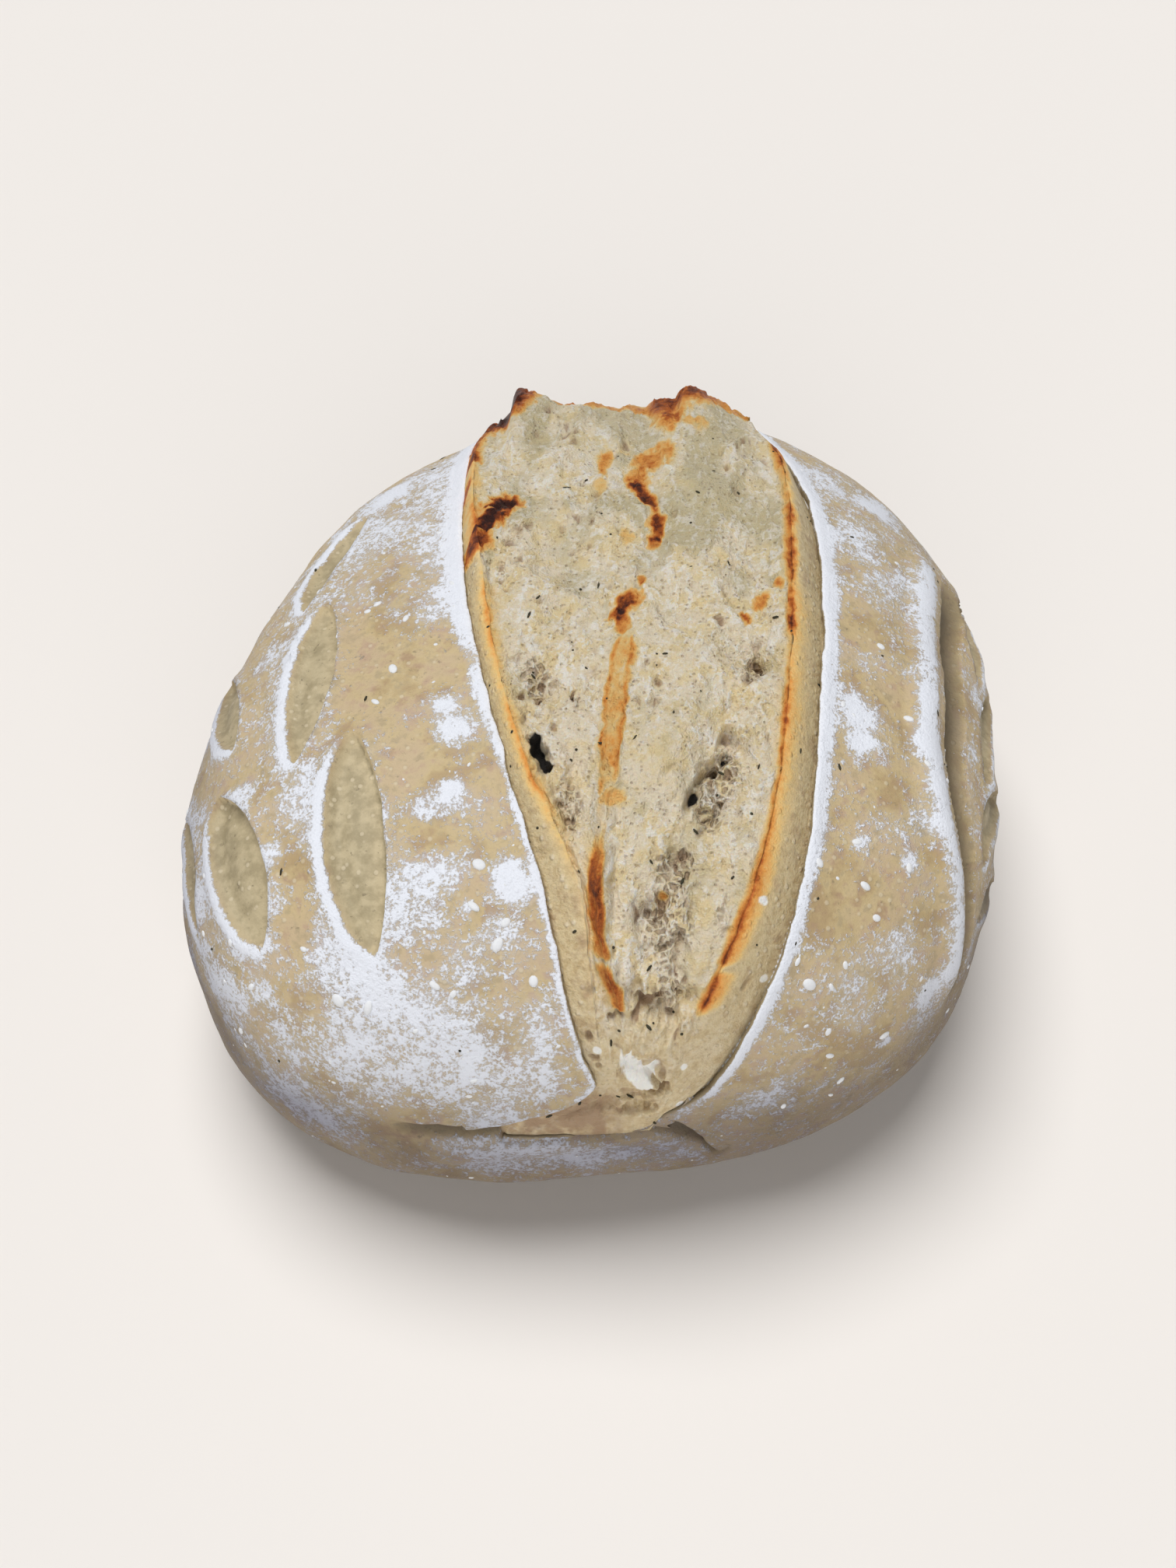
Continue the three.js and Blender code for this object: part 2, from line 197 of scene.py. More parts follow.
@dataclass(frozen=True)
class LoafForm:
    """The round dome that every piece is laid on, in millimetres round the middle of its girth."""

    half_width: float = 112.0
    half_length: float = 118.0
    height: float = 118.0
    girth_height: float = 40.0
    dome_fullness: float = 2.8
    underside_fullness: float = 3.4
    base_lift: float = 1.6
    girth_middle: tuple[float, float] = (-2.7231, -12.1838)  # X and Y of the girth's middle in the frame
    plan_waves: tuple[tuple[int, float, float], ...] = (
        (1, 0.036, 0.076), (2, 0.0, 0.06), (3, -0.006, -0.035), (4, -0.027, 0.0),
    )

    def distance(self, directions: Array) -> Array:
        """How far the crust is from the girth's middle.

        Args:
            directions: Unit vectors.

        Returns:
            Millimetres along each direction.
        """
        x, y, z = np.moveaxis(directions, -1, 0)
        angle = np.arctan2(y, x)
        share = 1 + sum(c * np.cos(n * angle) + s * np.sin(n * angle) for n, c, s in self.plan_waves)
        upper = z > 0
        reach = np.where(upper, self.height - self.girth_height, self.girth_height)
        power = np.where(upper, self.dome_fullness, self.underside_fullness)
        across = np.hypot(x / self.half_width, y / self.half_length) / share
        plain = (across**power + np.abs(z / reach) ** power) ** (-1 / power)
        dimple = 0.005 * np.sin(5 * x + 2 * y + 1) * np.cos(4 * y - 3 * z)
        dimple = dimple + 0.003 * np.sin(9 * x - 7 * z + 3 * y)
        return plain * (1 + dimple)

    def on_crust(self, directions: Array) -> Array:
        """The crust's points along some directions."""
        return directions * self.distance(directions)[..., None]

    def outward(self, points: Array) -> Array:
        """The direction straight out of the crust at points on it.

        Args:
            points: Places on or near the crust.

        Returns:
            Unit vectors.
        """
        step = 0.5

        def level(shifted: Array) -> Array:
            """How many times further out than the crust a place is."""
            length = np.linalg.norm(shifted, axis=-1)
            return length / self.distance(shifted / length[..., None])

        slopes = [level(points + step * axis) - level(points - step * axis) for axis in np.eye(3)]
        return unit(np.stack(slopes, axis=-1))

    def on_burst(self, degrees: Array, x: Array, rise: Array) -> Array:
        """Points over the crust, by the angle round an axle across the loaf and the place along it.

        Args:
            degrees: Angles up from the front.
            x: Millimetres across the loaf.
            rise: Millimetres above the crust.

        Returns:
            The points.
        """
        angle = np.radians(degrees)
        near, far = np.zeros_like(x), np.full_like(x, 2 * self.half_length)
        for _ in range(HALVINGS):
            reach = (near + far) / 2
            point = np.stack([x, -reach * np.cos(angle), reach * np.sin(angle)], axis=-1)
            outside = np.linalg.norm(point, axis=-1) > self.distance(unit(point))
            near, far = np.where(outside, near, reach), np.where(outside, reach, far)
        reach = near + rise
        return np.stack([x, -reach * np.cos(angle), reach * np.sin(angle)], axis=-1)

    def unevenness(self, points: Array) -> Array:
        """How far hand-shaped dough stands in or out of the plain crust, in millimetres."""
        return 0.55 * swell(points, 21, 1) + 0.28 * swell(points, 8, 2)

    def lip_swell(self, distance: Array, degrees: Array) -> Array:
        """How far the crust lifts towards the burst, by the distance back from its edge and the angle up."""
        return 0.95 * np.exp(-((distance / 5) ** 2)) * between(degrees, 8, 20, 146, 156)

    def low_browning_and_shade(self, points: Array) -> Array:
        """How far points are darkened low down, from 0 to 1: a browner crust where it lay on the stone, and
        painted shade.
        """
        return ease(-points[:, 2], -38, 2) * (0.9 + 0.1 * swell(points, 16, 4))

    def middle(self) -> Array:
        """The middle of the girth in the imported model's frame, in millimetres."""
        return np.array([*self.girth_middle, self.girth_height - self.base_lift])

    def in_frame(self, points: Array) -> Array:
        """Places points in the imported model's frame.

        Args:
            points: Places in millimetres round the girth's middle.

        Returns:
            The places in metres, none below the pressed base.
        """
        placed = points + self.middle()
        placed[:, 2] = np.maximum(placed[:, 2], 0.0)
        return placed / METRE


# ---- Making pieces ----


def clear_selection() -> None:
    """Deselects everything, so that an operator acts on the new primitive alone."""
    bpy.ops.object.select_all(action="DESELECT")


Placing = Callable[[Array, Array], tuple[Array, dict[str, Array]]]


def shaped_ball(name: str, around: int, rows: int, place: Placing, material: Any) -> Any:
    """Adds a ball and carries each of its points to a new place, so that the piece stays closed.

    Args:
        name: The piece's name.
        around: Points in a row, a multiple of four.
        rows: Rows of faces from the top pole to the bottom pole.
        place: Gives points in metres and named values per point from the share round and the share down.
        material: The piece's finish.

    Returns:
        The new object, smooth-shaded and dressed, with the named values as attributes.
    """
    clear_selection()
    bpy.ops.mesh.primitive_uv_sphere_add(segments=around, ring_count=rows, radius=1)
    piece = bpy.context.object
    piece.name = piece.data.name = name
    ball = np.empty(3 * len(piece.data.vertices), np.float32)
    piece.data.vertices.foreach_get("co", ball)
    x, y, z = ball.reshape(-1, 3).astype(float).T
    turn = np.round(np.arctan2(y, x) / (2 * math.pi) * around) % around / around
    fall = np.round(np.arccos(np.clip(z, -1, 1)) / math.pi * rows) / rows
    points, values = place(turn, fall)
    piece.data.vertices.foreach_set("co", points.astype(np.float32).ravel())
    for key, value in values.items():
        layer = piece.data.attributes.new(key, "FLOAT", "POINT")
        layer.data.foreach_set("value", np.asarray(value, np.float32))
    bpy.ops.object.mode_set(mode="EDIT")
    bpy.ops.mesh.select_all(action="SELECT")
    bpy.ops.mesh.normals_make_consistent(inside=False)
    bpy.ops.object.mode_set(mode="OBJECT")
    bpy.ops.object.shade_smooth()
    dress(piece, material)
    return piece


def scattered(name: str, subdivisions: int, places: Array, axes: Array) -> Any:
    """Copies one small ball to many places as a single piece.

    Args:
        name: The piece's name.
        subdivisions: Of the ball: 1 has 20 faces, 2 has 80.
        places: The balls' middles in metres.
        axes: For each ball the three half axes, as rows, in metres.

    Returns:
        The new object.
    """
    clear_selection()
    bpy.ops.mesh.primitive_ico_sphere_add(subdivisions=subdivisions, radius=1)
    piece = bpy.context.object
    ball = np.array([v.co[:] for v in piece.data.vertices])
    faces = np.array([f.vertices[:] for f in piece.data.polygons])
    points = np.einsum("vk,nkc->nvc", ball, axes) + places[:, None]
    copies = faces[None] + len(ball) * np.arange(len(places))[:, None, None]
    piece.data.clear_geometry()
    piece.data.from_pydata(points.reshape(-1, 3).tolist(), [], copies.reshape(-1, 3).tolist())
    piece.data.update()
    piece.name = piece.data.name = name
    bpy.ops.object.shade_smooth()
    return piece


def dress(piece: Any, material: Any) -> None:
    """Gives a piece its material and tells the frame what it is.

    Args:
        piece: The piece.
        material: Its finish.
    """
    piece.data.materials.clear()
    piece.data.materials.append(material)
    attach(piece, BODY)
    faces = len(piece.data.polygons)
    LOG.info("%s: %d faces, %s", piece.name, faces, material.name)


# ---- Cuts in the crust ----


@dataclass(frozen=True)
class Trail:
    """A path over the crust through headings of (azimuth, elevation)."""

    headings: tuple[tuple[float, float], ...]
    samples: int = 72

    def walk(self) -> tuple[Array, Array, Array]:
        """Walks along the path at even steps.

        Returns:
            Directions along the path, sideways directions, and the place from -1 to 1.
        """
        corners = heading(*np.array(self.headings).T)
        ends = [2 * corners[0] - corners[1], *corners, 2 * corners[-1] - corners[-2]]
        curve = []
        for a, b, c, d in zip(ends, ends[1:], ends[2:], ends[3:]):
            for t in np.linspace(0, 1, 24, endpoint=False):
                square, cube = 2 * a - 5 * b + 4 * c - d, 3 * b - a - 3 * c + d
                curve.append(0.5 * (2 * b + (c - a) * t + square * t**2 + cube * t**3))
        curve = unit(np.array([*curve, corners[-1]]))
        along = np.concatenate([[0], np.cumsum(np.linalg.norm(np.diff(curve, axis=0), axis=1))])
        place = np.linspace(0, along[-1], self.samples)
        path = unit(np.stack([np.interp(place, along, axis) for axis in curve.T], axis=-1))
        across = unit(np.cross(np.gradient(path, axis=0), path))
        return path, across, 2 * place / along[-1] - 1


@dataclass(frozen=True)
class FlatPatch:
    """A piece of the crust rolled out flat round a middle direction."""

    middle: Array
    radius: float

    def axes(self) -> tuple[Array, Array]:
        """Two directions that span the flat."""
        side = unit(np.cross([0, 0, 1.0], self.middle))
        return side, np.cross(self.middle, side)

    def flatten(self, directions: Array) -> Array:
        """Rolls directions out flat.

        Args:
            directions: Unit vectors.

        Returns:
            Places on the flat, in millimetres.
        """
        side, up = self.axes()
        angle = np.arccos(np.clip(directions @ self.middle, -1, 1))
        flat = np.stack([directions @ side, directions @ up], axis=-1)
        length = np.maximum(np.linalg.norm(flat, axis=-1, keepdims=True), TINY)
        return flat / length * angle[..., None] * self.radius

    def unflatten(self, flat: Array) -> Array:
        """Rolls places on the flat back onto the crust.

        Args:
            flat: Places on the flat, in millimetres.

        Returns:
            Their directions.
        """
        side, up = self.axes()
        length = np.maximum(np.linalg.norm(flat, axis=-1, keepdims=True), TINY)
        angle = length / self.radius
        return self.middle * np.cos(angle) + (flat[:, :1] * side + flat[:, 1:] * up) / length * np.sin(angle)


def outline_field(points: Array, outline: Array) -> tuple[Array, Array]:
    """Measures how far points are from a closed outline.

    Args:
        points: Places on the flat.
        outline: The outline's corners.

    Returns:
        The distance, negative inside, and the direction in which it grows.
    """
    start, stop = outline, np.roll(outline, -1, axis=0)
    edge = stop - start
    best = np.full(len(points), np.inf)
    toward = np.zeros_like(points)
    inside = np.zeros(len(points), bool)
    for a, b, e in zip(start, stop, edge):
        off = points - a
        t = np.clip(off @ e / max(e @ e, TINY), 0, 1)
        away = off - t[:, None] * e
        distance = np.linalg.norm(away, axis=1)
        closer = distance < best
        best = np.where(closer, distance, best)
        toward = np.where(closer[:, None], away, toward)
        spans = (a[1] > points[:, 1]) != (b[1] > points[:, 1])
        if spans.any():
            crossing = a[0] + (points[:, 1] - a[1]) * e[0] / (e[1] if e[1] else TINY)
            inside ^= spans & (points[:, 0] < crossing)
    sign = np.where(inside, -1.0, 1.0)
    return sign * best, toward * (sign / np.maximum(best, TINY))[:, None]


@dataclass(frozen=True)
class CrustCut:
    """A leaf-shaped cut that opened while baking: one edge stays a sharp skin edge, the other rolls over."""

    headings: tuple[tuple[float, float], ...]
    width: float
    depth: float
    sharp_side: int  # 1 or -1: which side keeps the sharp skin edge
    lip: float = 1.0  # how far the edges lift
    wall: float = 0.9  # how wide the sharp edge's wall is
    roll: float = 4.2  # how wide the rolled edge is
    crown: float = 0.7  # how far the floor swells in the middle
    floured: float = 1.0  # how white its edges are


@dataclass
class CrustState:
    """What the crust's points carry while its cuts are made."""

    directions: Array
    rise: Array
    flour: Array
    floor: Array

    def open_cut(self, form: LoafForm, cut: CrustCut, seed: int) -> None:
        """Opens one cut: draws nearby points onto its edges, then shapes its walls, floor and lifted lips.

        Args:
            form: The loaf's form.
            cut: The cut.
            seed: Picks the unevenness of its outline.
        """
        path, across, place = Trail(cut.headings).walk()
        middle = path[len(path) // 2]
        patch = FlatPatch(middle, float(form.distance(middle[None])[0]))
        half = cut.width / 2 * np.maximum(0.03, (1 - place**2) ** 0.62)
        sides = []
        for side in (1, -1):
            edge = path + side * across * (half / patch.radius)[:, None]
            at = edge * patch.radius
            wobble = 0.3 * swell(at, 7, seed + side) + 0.15 * swell(at, 2.5, seed)
            sides.append(path + side * across * ((half + wobble) / patch.radius)[:, None])
        outline = patch.flatten(unit(np.concatenate([sides[0], sides[1][::-1]])))
        reach = np.linalg.norm(outline, axis=1).max() + 9
        near = np.where(self.directions @ middle > math.cos(reach / patch.radius))[0]
        flat = patch.flatten(self.directions[near])
        distance, grows = outline_field(flat, outline)
        target = np.where(np.abs(distance - 0.05) < 0.55, 0.0, distance)
        target = np.where((distance <= -0.5) & (distance > -1.5), -cut.wall, target)
        flat += grows * (target - distance)[:, None]
        self.directions[near] = patch.unflatten(flat)
        trail = patch.flatten(path)
        sideways = patch.flatten(unit(path + 0.01 * across)) - trail
        closest = np.argmin(np.linalg.norm(flat[:, None] - trail[None], axis=2), axis=1)
        lean = np.einsum("ij,ij->i", flat - trail[closest], unit(sideways)[closest])
        sharp = ease(cut.sharp_side * lean / (cut.width / 4), -0.6, 0.6)
        inside = np.maximum(-target, 0)
        ends = ease(half[closest], 0.0, cut.width * 0.3)
        fall = mix(ease(inside, 0, cut.roll), ease(inside, 0, cut.wall) ** 0.5, sharp)
        belly = cut.crown * ease(inside, 0.5, cut.width / 2)
        bowl = cut.lip * (1 - fall) - cut.depth * ends * fall + belly
        outside = np.maximum(target, 0)
        lift = cut.lip * (0.35 + 0.65 * ends) * np.exp(-((outside / 3.2) ** 2))
        self.rise[near] += np.where(target < 0, bowl, lift)
        floor = np.maximum(ease(inside, 0.3, 2.6), sharp * ease(inside, 0.2, 0.9))
        self.floor[near] = np.maximum(self.floor[near], floor)
        rim = np.exp(-((outside / mix(1.1, 0.8, sharp)) ** 2)) * (target >= 0) + (target < 0) * (1 - floor)
        haze = 0.35 * np.exp(-((outside / 4.5) ** 2)) * (target >= 0)
        edges = mix(1.0, 0.25, sharp) * ease(place[closest], -1.0, -0.55)
        self.flour[near] += cut.floured * (1.1 * rim + haze) * edges - 1.5 * floor


# ---- The crust ----


@dataclass(frozen=True)
class FlourSpot:
    """A cloud of flour, or a bare place where its amount is below zero, by its heading and radius in mm."""

    azimuth: float
    elevation: float
    radius: float
    amount: float


def left_cuts() -> tuple[CrustCut, ...]:
    """Two rows of cuts on the left shoulder, as a wheat ear has them.

    Returns:
        The cuts.
    """
    rows = (
        (((-71, 28), (-57, 28), (-46.5, 24)), 19, 2.6),
        (((-65.5, 49), (-44, 40.5), (-31.5, 30.5)), 15.5, 2.6),
        (((-108, 43), (-84, 44.5), (-65.5, 40.5)), 13, 2.4),
        (((-136, 34), (-120, 36.5), (-106, 39)), 11, 2.2),
        (((-99, 23), (-85, 29.5), (-78, 31.5)), 13, 2.0),
        (((-78, 16), (-68, 19), (-58, 16)), 11, 1.8),
    )
    return tuple(CrustCut(trail, width, depth, sharp_side=-1) for trail, width, depth in rows)


def right_cuts() -> tuple[CrustCut, ...]:
    """A row of cuts below the right shoulder's long lip, which scallops the side.

    Returns:
        The cuts.
    """
    rows = (
        (((121, 12), (109, 19), (98, 21)), 13, 2.6),
        (((101, 14), (90, 20), (80, 21)), 12, 2.6),
        (((85, 12), (76, 18), (69, 17)), 12, 2.6),
        (((76, 3), (69, 10), (64, 11)), 11, 2.4),
    )
    looks = {"sharp_side": 1, "lip": 0.8, "crown": 1.4, "floured": 0.4}
    return tuple(CrustCut(trail, width, depth, **looks) for trail, width, depth in rows)


# The skin's edges along the burst, as (angle up from the front, X).
LEFT_SKIN: Rows = (
    (3, -20.5), (7.5, -20), (9.3, -18), (10.2, -14), (11.5, -6.9), (13.9, -1.1), (17.3, 2), (22, -0.8),
    (28, -3.5), (45, -10.5), (65, -20), (95, -29.5), (125, -33), (145, -31.8), (152, -28), (157, -20),
    (160, -11), (162, 0), (163, 7),
)
RIGHT_SKIN: Rows = (
    (3, 13), (8.2, 17.4), (10, 21.8), (13.2, 27.4), (20, 33.8), (28.5, 40.4), (38, 46.3), (50, 51.3),
    (66, 54.6), (82, 57.4), (97, 59.3), (112, 60.4), (124, 60.3), (136, 56.6), (148, 48.5), (154, 40),
    (158, 30), (160.5, 21), (162.3, 12), (163, 7),
)

# Clouds of flour and bare places, as (azimuth, elevation, radius, amount).
FLOUR_SPOTS: tuple[tuple[float, float, float, float], ...] = (
    # Left shoulder, from the back to the burst.
    (-148, 39, 15, 0.55), (-129, 42, 11, 0.5), (-133, 54, 9.5, 0.4), (-109, 44, 6, 0.3),
    (-104, 62, 5.5, 0.35), (-116, 62, 3.2, 0.5), (-96, 36, 5.2, 0.6), (-113, 24, 5.1, 0.5),
    (-48, 60, 4.3, 1.3), (-59, 62, 2.6, 1.0), (-57, 40, 5.6, 0.55), (-63, 42, 3.5, 0.35),
    (-67, 32, 4.9, 0.8), (-54, 33, 3, 0.8), (-35, 53, 2.5, 1.1), (-38, 49, 2.5, 0.6), (-15, 44, 4.1, 1.2),
    (-15, 38, 3.7, 0.6), (-21, 40, 1.4, 1.2), (-31, 39, 5.4, 0.8),
    # Left front, down to the foot.
    (-33, 28, 8.8, 0.6), (-27, 26, 9.4, 0.65), (-20, 27, 7.5, 0.45), (-16, 22, 8.9, 0.5),
    (-7, 20, 8.5, 0.5), (-31, 16, 9.1, 0.5), (-39, 15, 6.6, 0.45), (-45, 19, 5.7, 0.5), (-37, 2, 7.8, 0.5),
    (-14, 13, 8.7, 0.4), (-6, 28, 5, 0.35), (-12, -1, 6.8, 0.35), (-3, 0, 7.7, 0.5), (-21, 18, 13, 0.35),
    (-30, 20, 9, 0.25), (-36, 5, 11, 0.45), (-12, 4, 11, 0.4), (-48, 9, 8, 0.4), (-54, 14.5, 6, 0.55),
    (-63, 19, 4.5, 0.65), (-78, 17, 6, 0.7), (-49, 16, 4, 0.5), (-42, 2, 6, 0.4), (-70, 13, 6, 0.5),
    (-90, 20, 6, 0.6), (-60, 8, 6, 0.4), (2, -2, 9, 0.45), (12, -3, 8, 0.4), (-35, 50, 6, 0.35),
    (-28, 43, 6, 0.4), (-29, 36, 6, 0.35), (-50, 26, 7, 0.35), (-50, 14, 8, 0.4), (-38, 27, 6, 0.35),
    (-18, 33, 5, 0.35), (-72, 22, 6, 0.5), (-60, 20, 5, 0.4), (-56, 52, 6, 0.2),
    # Bare places on the left.
    (-78, 56, 10.7, -0.8), (-76, 68, 5.8, -0.6), (-50, 54, 7.3, -0.6), (-32, 46, 5, -0.5),
    (-48, 34, 4.3, -0.5), (-44, 29, 4.3, -0.6), (-24, 5, 4.5, -1.2), (-25, 57, 4.2, -0.35),
    (-95, 52, 5.5, -0.3), (-44, 3, 3.2, -0.3),
    # Right shoulder.
    (139, 35, 10.2, 0.6), (123, 38, 8.9, 0.55), (110, 35, 6.3, 0.5), (125, 20, 6.3, 0.4),
    (75, 46, 4.5, 1.3), (68, 44, 3.1, 1.1), (85, 36, 2.8, 1.0), (76, 35, 3.6, 1.3), (70, 32, 3.2, 1.2),
    (63, 31, 2.2, 0.8), (51, 37, 1.9, 1.2), (55, 31, 2.2, 0.9), (89, 45, 4.1, 0.3), (104, 49, 3.7, 0.4),
    (50, 13, 3.6, 1.2), (54, 14, 2.7, 0.9), (42, 10, 2, 1.1), (24, 7, 9, 0.35), (37, 17, 6, 0.25),
    (46, 24, 7, 0.35), (94, 23, 4, 0.6), (83, 25, 3, 0.5), (62, 8, 5, 0.4), (48, 27, 8, 0.25),
    (39, 23, 7, 0.25), (62, 33, 6, 0.25), (31, 18, 6, 0.2), (50, 9, 7, 0.35), (108, 41, 7, 0.25),
    # Bare places on the right.
    (97, 46, 5.6, -0.3), (82, 41, 5, -0.5), (48, 29, 7.8, -0.6), (40, 35, 6.4, -0.5), (62, 39, 4.4, -0.5),
    (33, 15, 7.5, -0.15),
)


@dataclass
class FlourDust:
    """How thickly flour lies over the loaf: 0 is bare and 1 is white."""

    form: LoafForm
    thin: float = 0.2
    boost: float = 1.1
    full: float = 0.62  # above this, further spots add little
    back_spots: int = 46
    seed: int = 7

    def clouds(self, directions: Array) -> Array:
        """How much flour lies along some directions, before the cuts and lips.

        Args:
            directions: Unit vectors.

        Returns:
            The flour's amount along each.
        """
        spots = [FlourSpot(*row) for row in FLOUR_SPOTS]
        chance = np.random.default_rng(self.seed)
        for _ in range(self.back_spots):
            azimuth = 180 + chance.uniform(-62, 62)
            amount = chance.choice([0.6, 0.5, -0.6, 0.9])
            spots.append(FlourSpot(azimuth, chance.uniform(-8, 58), chance.uniform(3, 12), amount))
        plain = self.form.on_crust(directions)
        total = np.full(len(directions), self.thin)
        caked = np.zeros(len(directions))
        broad, ragged = rough(plain, 9, 71), rough(plain, 3.5, 72)
        for spot in spots:
            middle = heading(np.array(spot.azimuth), np.array(spot.elevation))
            gap = np.arccos(np.clip(directions @ middle, -1, 1)) * self.form.distance(middle[None])[0]
            reach = gap / spot.radius + 0.45 * broad + 0.3 * ragged
            amount = self.boost * spot.amount * np.exp(-(np.maximum(reach, 0) ** 2.2))
            if spot.amount > 0.85:
                caked += amount
            else:
                total += amount
        return np.where(total > self.full, self.full + 0.4 * (total - self.full), total) + caked

    def along_lip(self, distance: Array, degrees: Array, right: Array) -> Array:
        """The whiter band beside the burst.

        Args:
            distance: Millimetres back from the skin's edge.
            degrees: Angles up from the front.
            right: Where the skin is the right one.

        Returns:
            The extra flour.
        """
        width = np.where(right, mix(2.6, 4.2, ease(degrees, 25, 60)), mix(1.4, 4.8, ease(degrees, 50, 105)))
        amount = np.where(right, 1.3, mix(0.8, 1.2, ease(degrees, 45, 90)))
        amount = amount * between(degrees, 6, 20, 160, 167)
        return amount * np.exp(-((np.maximum(distance, 0) / width) ** 3))


@dataclass
class Crust:
    """The floured skin of the whole loaf, sunk where the burst lies."""

    form: LoafForm
    around: int = 488
    rows: int = 184
    crowding: float = 0.3  # how much closer together the points stand at the front than at the back
    sink: float = 16.0  # how deep the skin dips under the burst
    row_places: Rows = ((0, 90), (0.11, 62), (0.62, 8), (0.79, -14), (0.92, -30), (1, -90))
    right_lip: tuple[tuple[float, float], ...] = (
        (124, 23), (109, 31.5), (93, 35.5), (77, 35.5), (64.5, 29.5), (56, 17.5), (53.5, 4),
    )
    right_valley: tuple[tuple[float, float], ...] = (
        (118, 20), (106, 26.5), (92, 29.5), (78, 29.3), (67.5, 23.5), (60, 13), (57, 3),
    )
    foot_flap: tuple[tuple[float, float], ...] = ((-24, 0), (-12, 3), (0, 4), (9, 4), (15, -2))
    foot_tears: tuple[tuple[tuple[float, float], ...], ...] = (
        ((3, 13), (-2, 10.5), (-7, 9.2), (-13, 7.6), (-19, 6.4), (-26, 5.8)),
        ((9, 7.2), (12.5, 4.6), (16.5, 0), (20, -6)),
    )
    tear_depth: float = 2.6

    def ridge(self, state: CrustState, trail: Sequence, half: float, rise: float) -> Array:
        """Raises a soft ridge along a trail.

        Args:
            state: The crust's points.
            trail: Headings along the ridge.
            half: Half its width.
            rise: Its height.

        Returns:
            How near each point is to the ridge's middle line, from 0 at its sides to 1.
        """
        path, _, place = Trail(tuple(trail)).walk()
        line = self.form.on_crust(path)
        points = self.form.on_crust(state.directions)
        near = np.where((points @ unit(line.mean(axis=0))) > 0)[0]
        gap = np.full(len(points), 99.0)
        step = np.zeros(len(points), int)
        for chunk in np.array_split(near, 12):
            distances = np.linalg.norm(points[chunk][:, None] - line[None], axis=2)
            step[chunk] = np.argmin(distances, axis=1)
            gap[chunk] = distances.min(axis=1)
        ends = ease(1 - np.abs(place[step]), 0, 0.25)
        share = np.clip(1 - (gap / half) ** 2, 0, 1) * ends
        state.rise += rise * share
        return share

    def place(self, turn: Array, fall: Array) -> tuple[Array, dict]:
        """Gives each point of the ball its place on the crust.

        Args:
            turn: Share of the way round, from the front.
            fall: Share of the way down.

        Returns:
            Points in metres, and the values that the crust's material reads.
        """
        form = self.form
        round_angle = 2 * math.pi * turn
        azimuth = np.degrees(round_angle - self.crowding * np.sin(round_angle))
        levels, heights = zip(*self.row_places)
        directions = heading(azimuth, np.interp(fall, levels, heights))
        dust = FlourDust(form)
        state = CrustState(directions, np.zeros(len(turn)), dust.clouds(directions), np.zeros(len(turn)))
        for seed, cut in enumerate((*left_cuts(), *right_cuts())):
            state.open_cut(form, cut, 100 + 10 * seed)
        lip = self.ridge(state, self.right_lip, 6.0, 2.2)
        valley = self.ridge(state, self.right_valley, 4.6, -3.2)
        flap = self.ridge(state, self.foot_flap, 7.5, 1.6)
        state.flour += 0.9 * lip**3 + 0.1 * flap - 1.0 * valley
        tears = sum(self.ridge(state, trail, 2.4, -self.tear_depth) for trail in self.foot_tears)
        state.flour -= 1.2 * tears
        plain = form.on_crust(state.directions)
        degrees = np.degrees(np.arctan2(plain[:, 2], -plain[:, 1]))
        left = plain[:, 0] - smooth_through(LEFT_SKIN, degrees)
        right = smooth_through(RIGHT_SKIN, degrees) - plain[:, 0]
        span = (degrees > 0) & (degrees < 170)
        within = np.minimum(left, right) * span
        burst = between(degrees, 4.5, 8, 161.6, 163.2)
        opened = ease(within, -1.7, 0.5) * burst
        edge = np.where(span, np.maximum(-left, -right), 99)
        state.flour += dust.along_lip(edge, degrees, right < left) * span
        state.flour = mix(state.flour, -1.0, ease(within, -1.3, -0.6) * burst)
        state.rise += form.lip_swell(0.92 * np.maximum(edge, 0), degrees)
        bumps = form.unevenness(plain) + (0.14 - 0.06 * state.floor) * rough(plain, 3.6, 3)
        state.rise += bumps - self.sink * opened
        points = plain + state.rise[:, None] * form.outward(plain)
        # Painted shade in the right valley and the foot's tears, over a partly browner crust.
        brown = np.maximum(0.85 * tears, 0.95 * valley**0.5)
        # Painted shade: darker low down, where the crust is also a little browner, and darker towards the
        # left edge, which is painted shade alone.
        base = form.low_browning_and_shade(plain)
        base += 0.45 * ease(-plain[:, 0], 78, 106) * ease(-plain[:, 2], -66, -40)
        values = {"flour": state.flour, "floor": state.floor, "brown": brown, "base": base}
        return form.in_frame(points), values

    def build(self, material: Any) -> Any:
        """Makes the crust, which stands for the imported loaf.

        Args:
            material: Its finish.

        Returns:
            The piece.
        """
        piece = shaped_ball("crust", self.around, self.rows, self.place, material)
        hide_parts(NODE)
        return piece


# ---- Skin lips along the burst ----


class LipSide(Enum):
    """Which stretch of skin a lip belongs to."""

    LEFT = "skin_lip_left"
    RIGHT = "skin_lip_right"
    FOOT = "skin_lip_foot"
    BACK = "skin_lip_back"


def skin_path(rows: Rows, top: float, tail: Rows) -> Array:
    """Draws a lip's path: down a skin edge from the top, then through the points of its tail.

    Args:
        rows: The skin's edge.
        top: The angle that the path starts from.
        tail: The path's last points, as (angle up from the front, X).

    Returns:
        The path's points.
    """
    degrees = np.arange(top, tail[0][0] + 3, -3)
    edge = np.stack([degrees, smooth_through(rows, degrees)], axis=-1)
    return np.concatenate([edge, np.array(tail, float)])


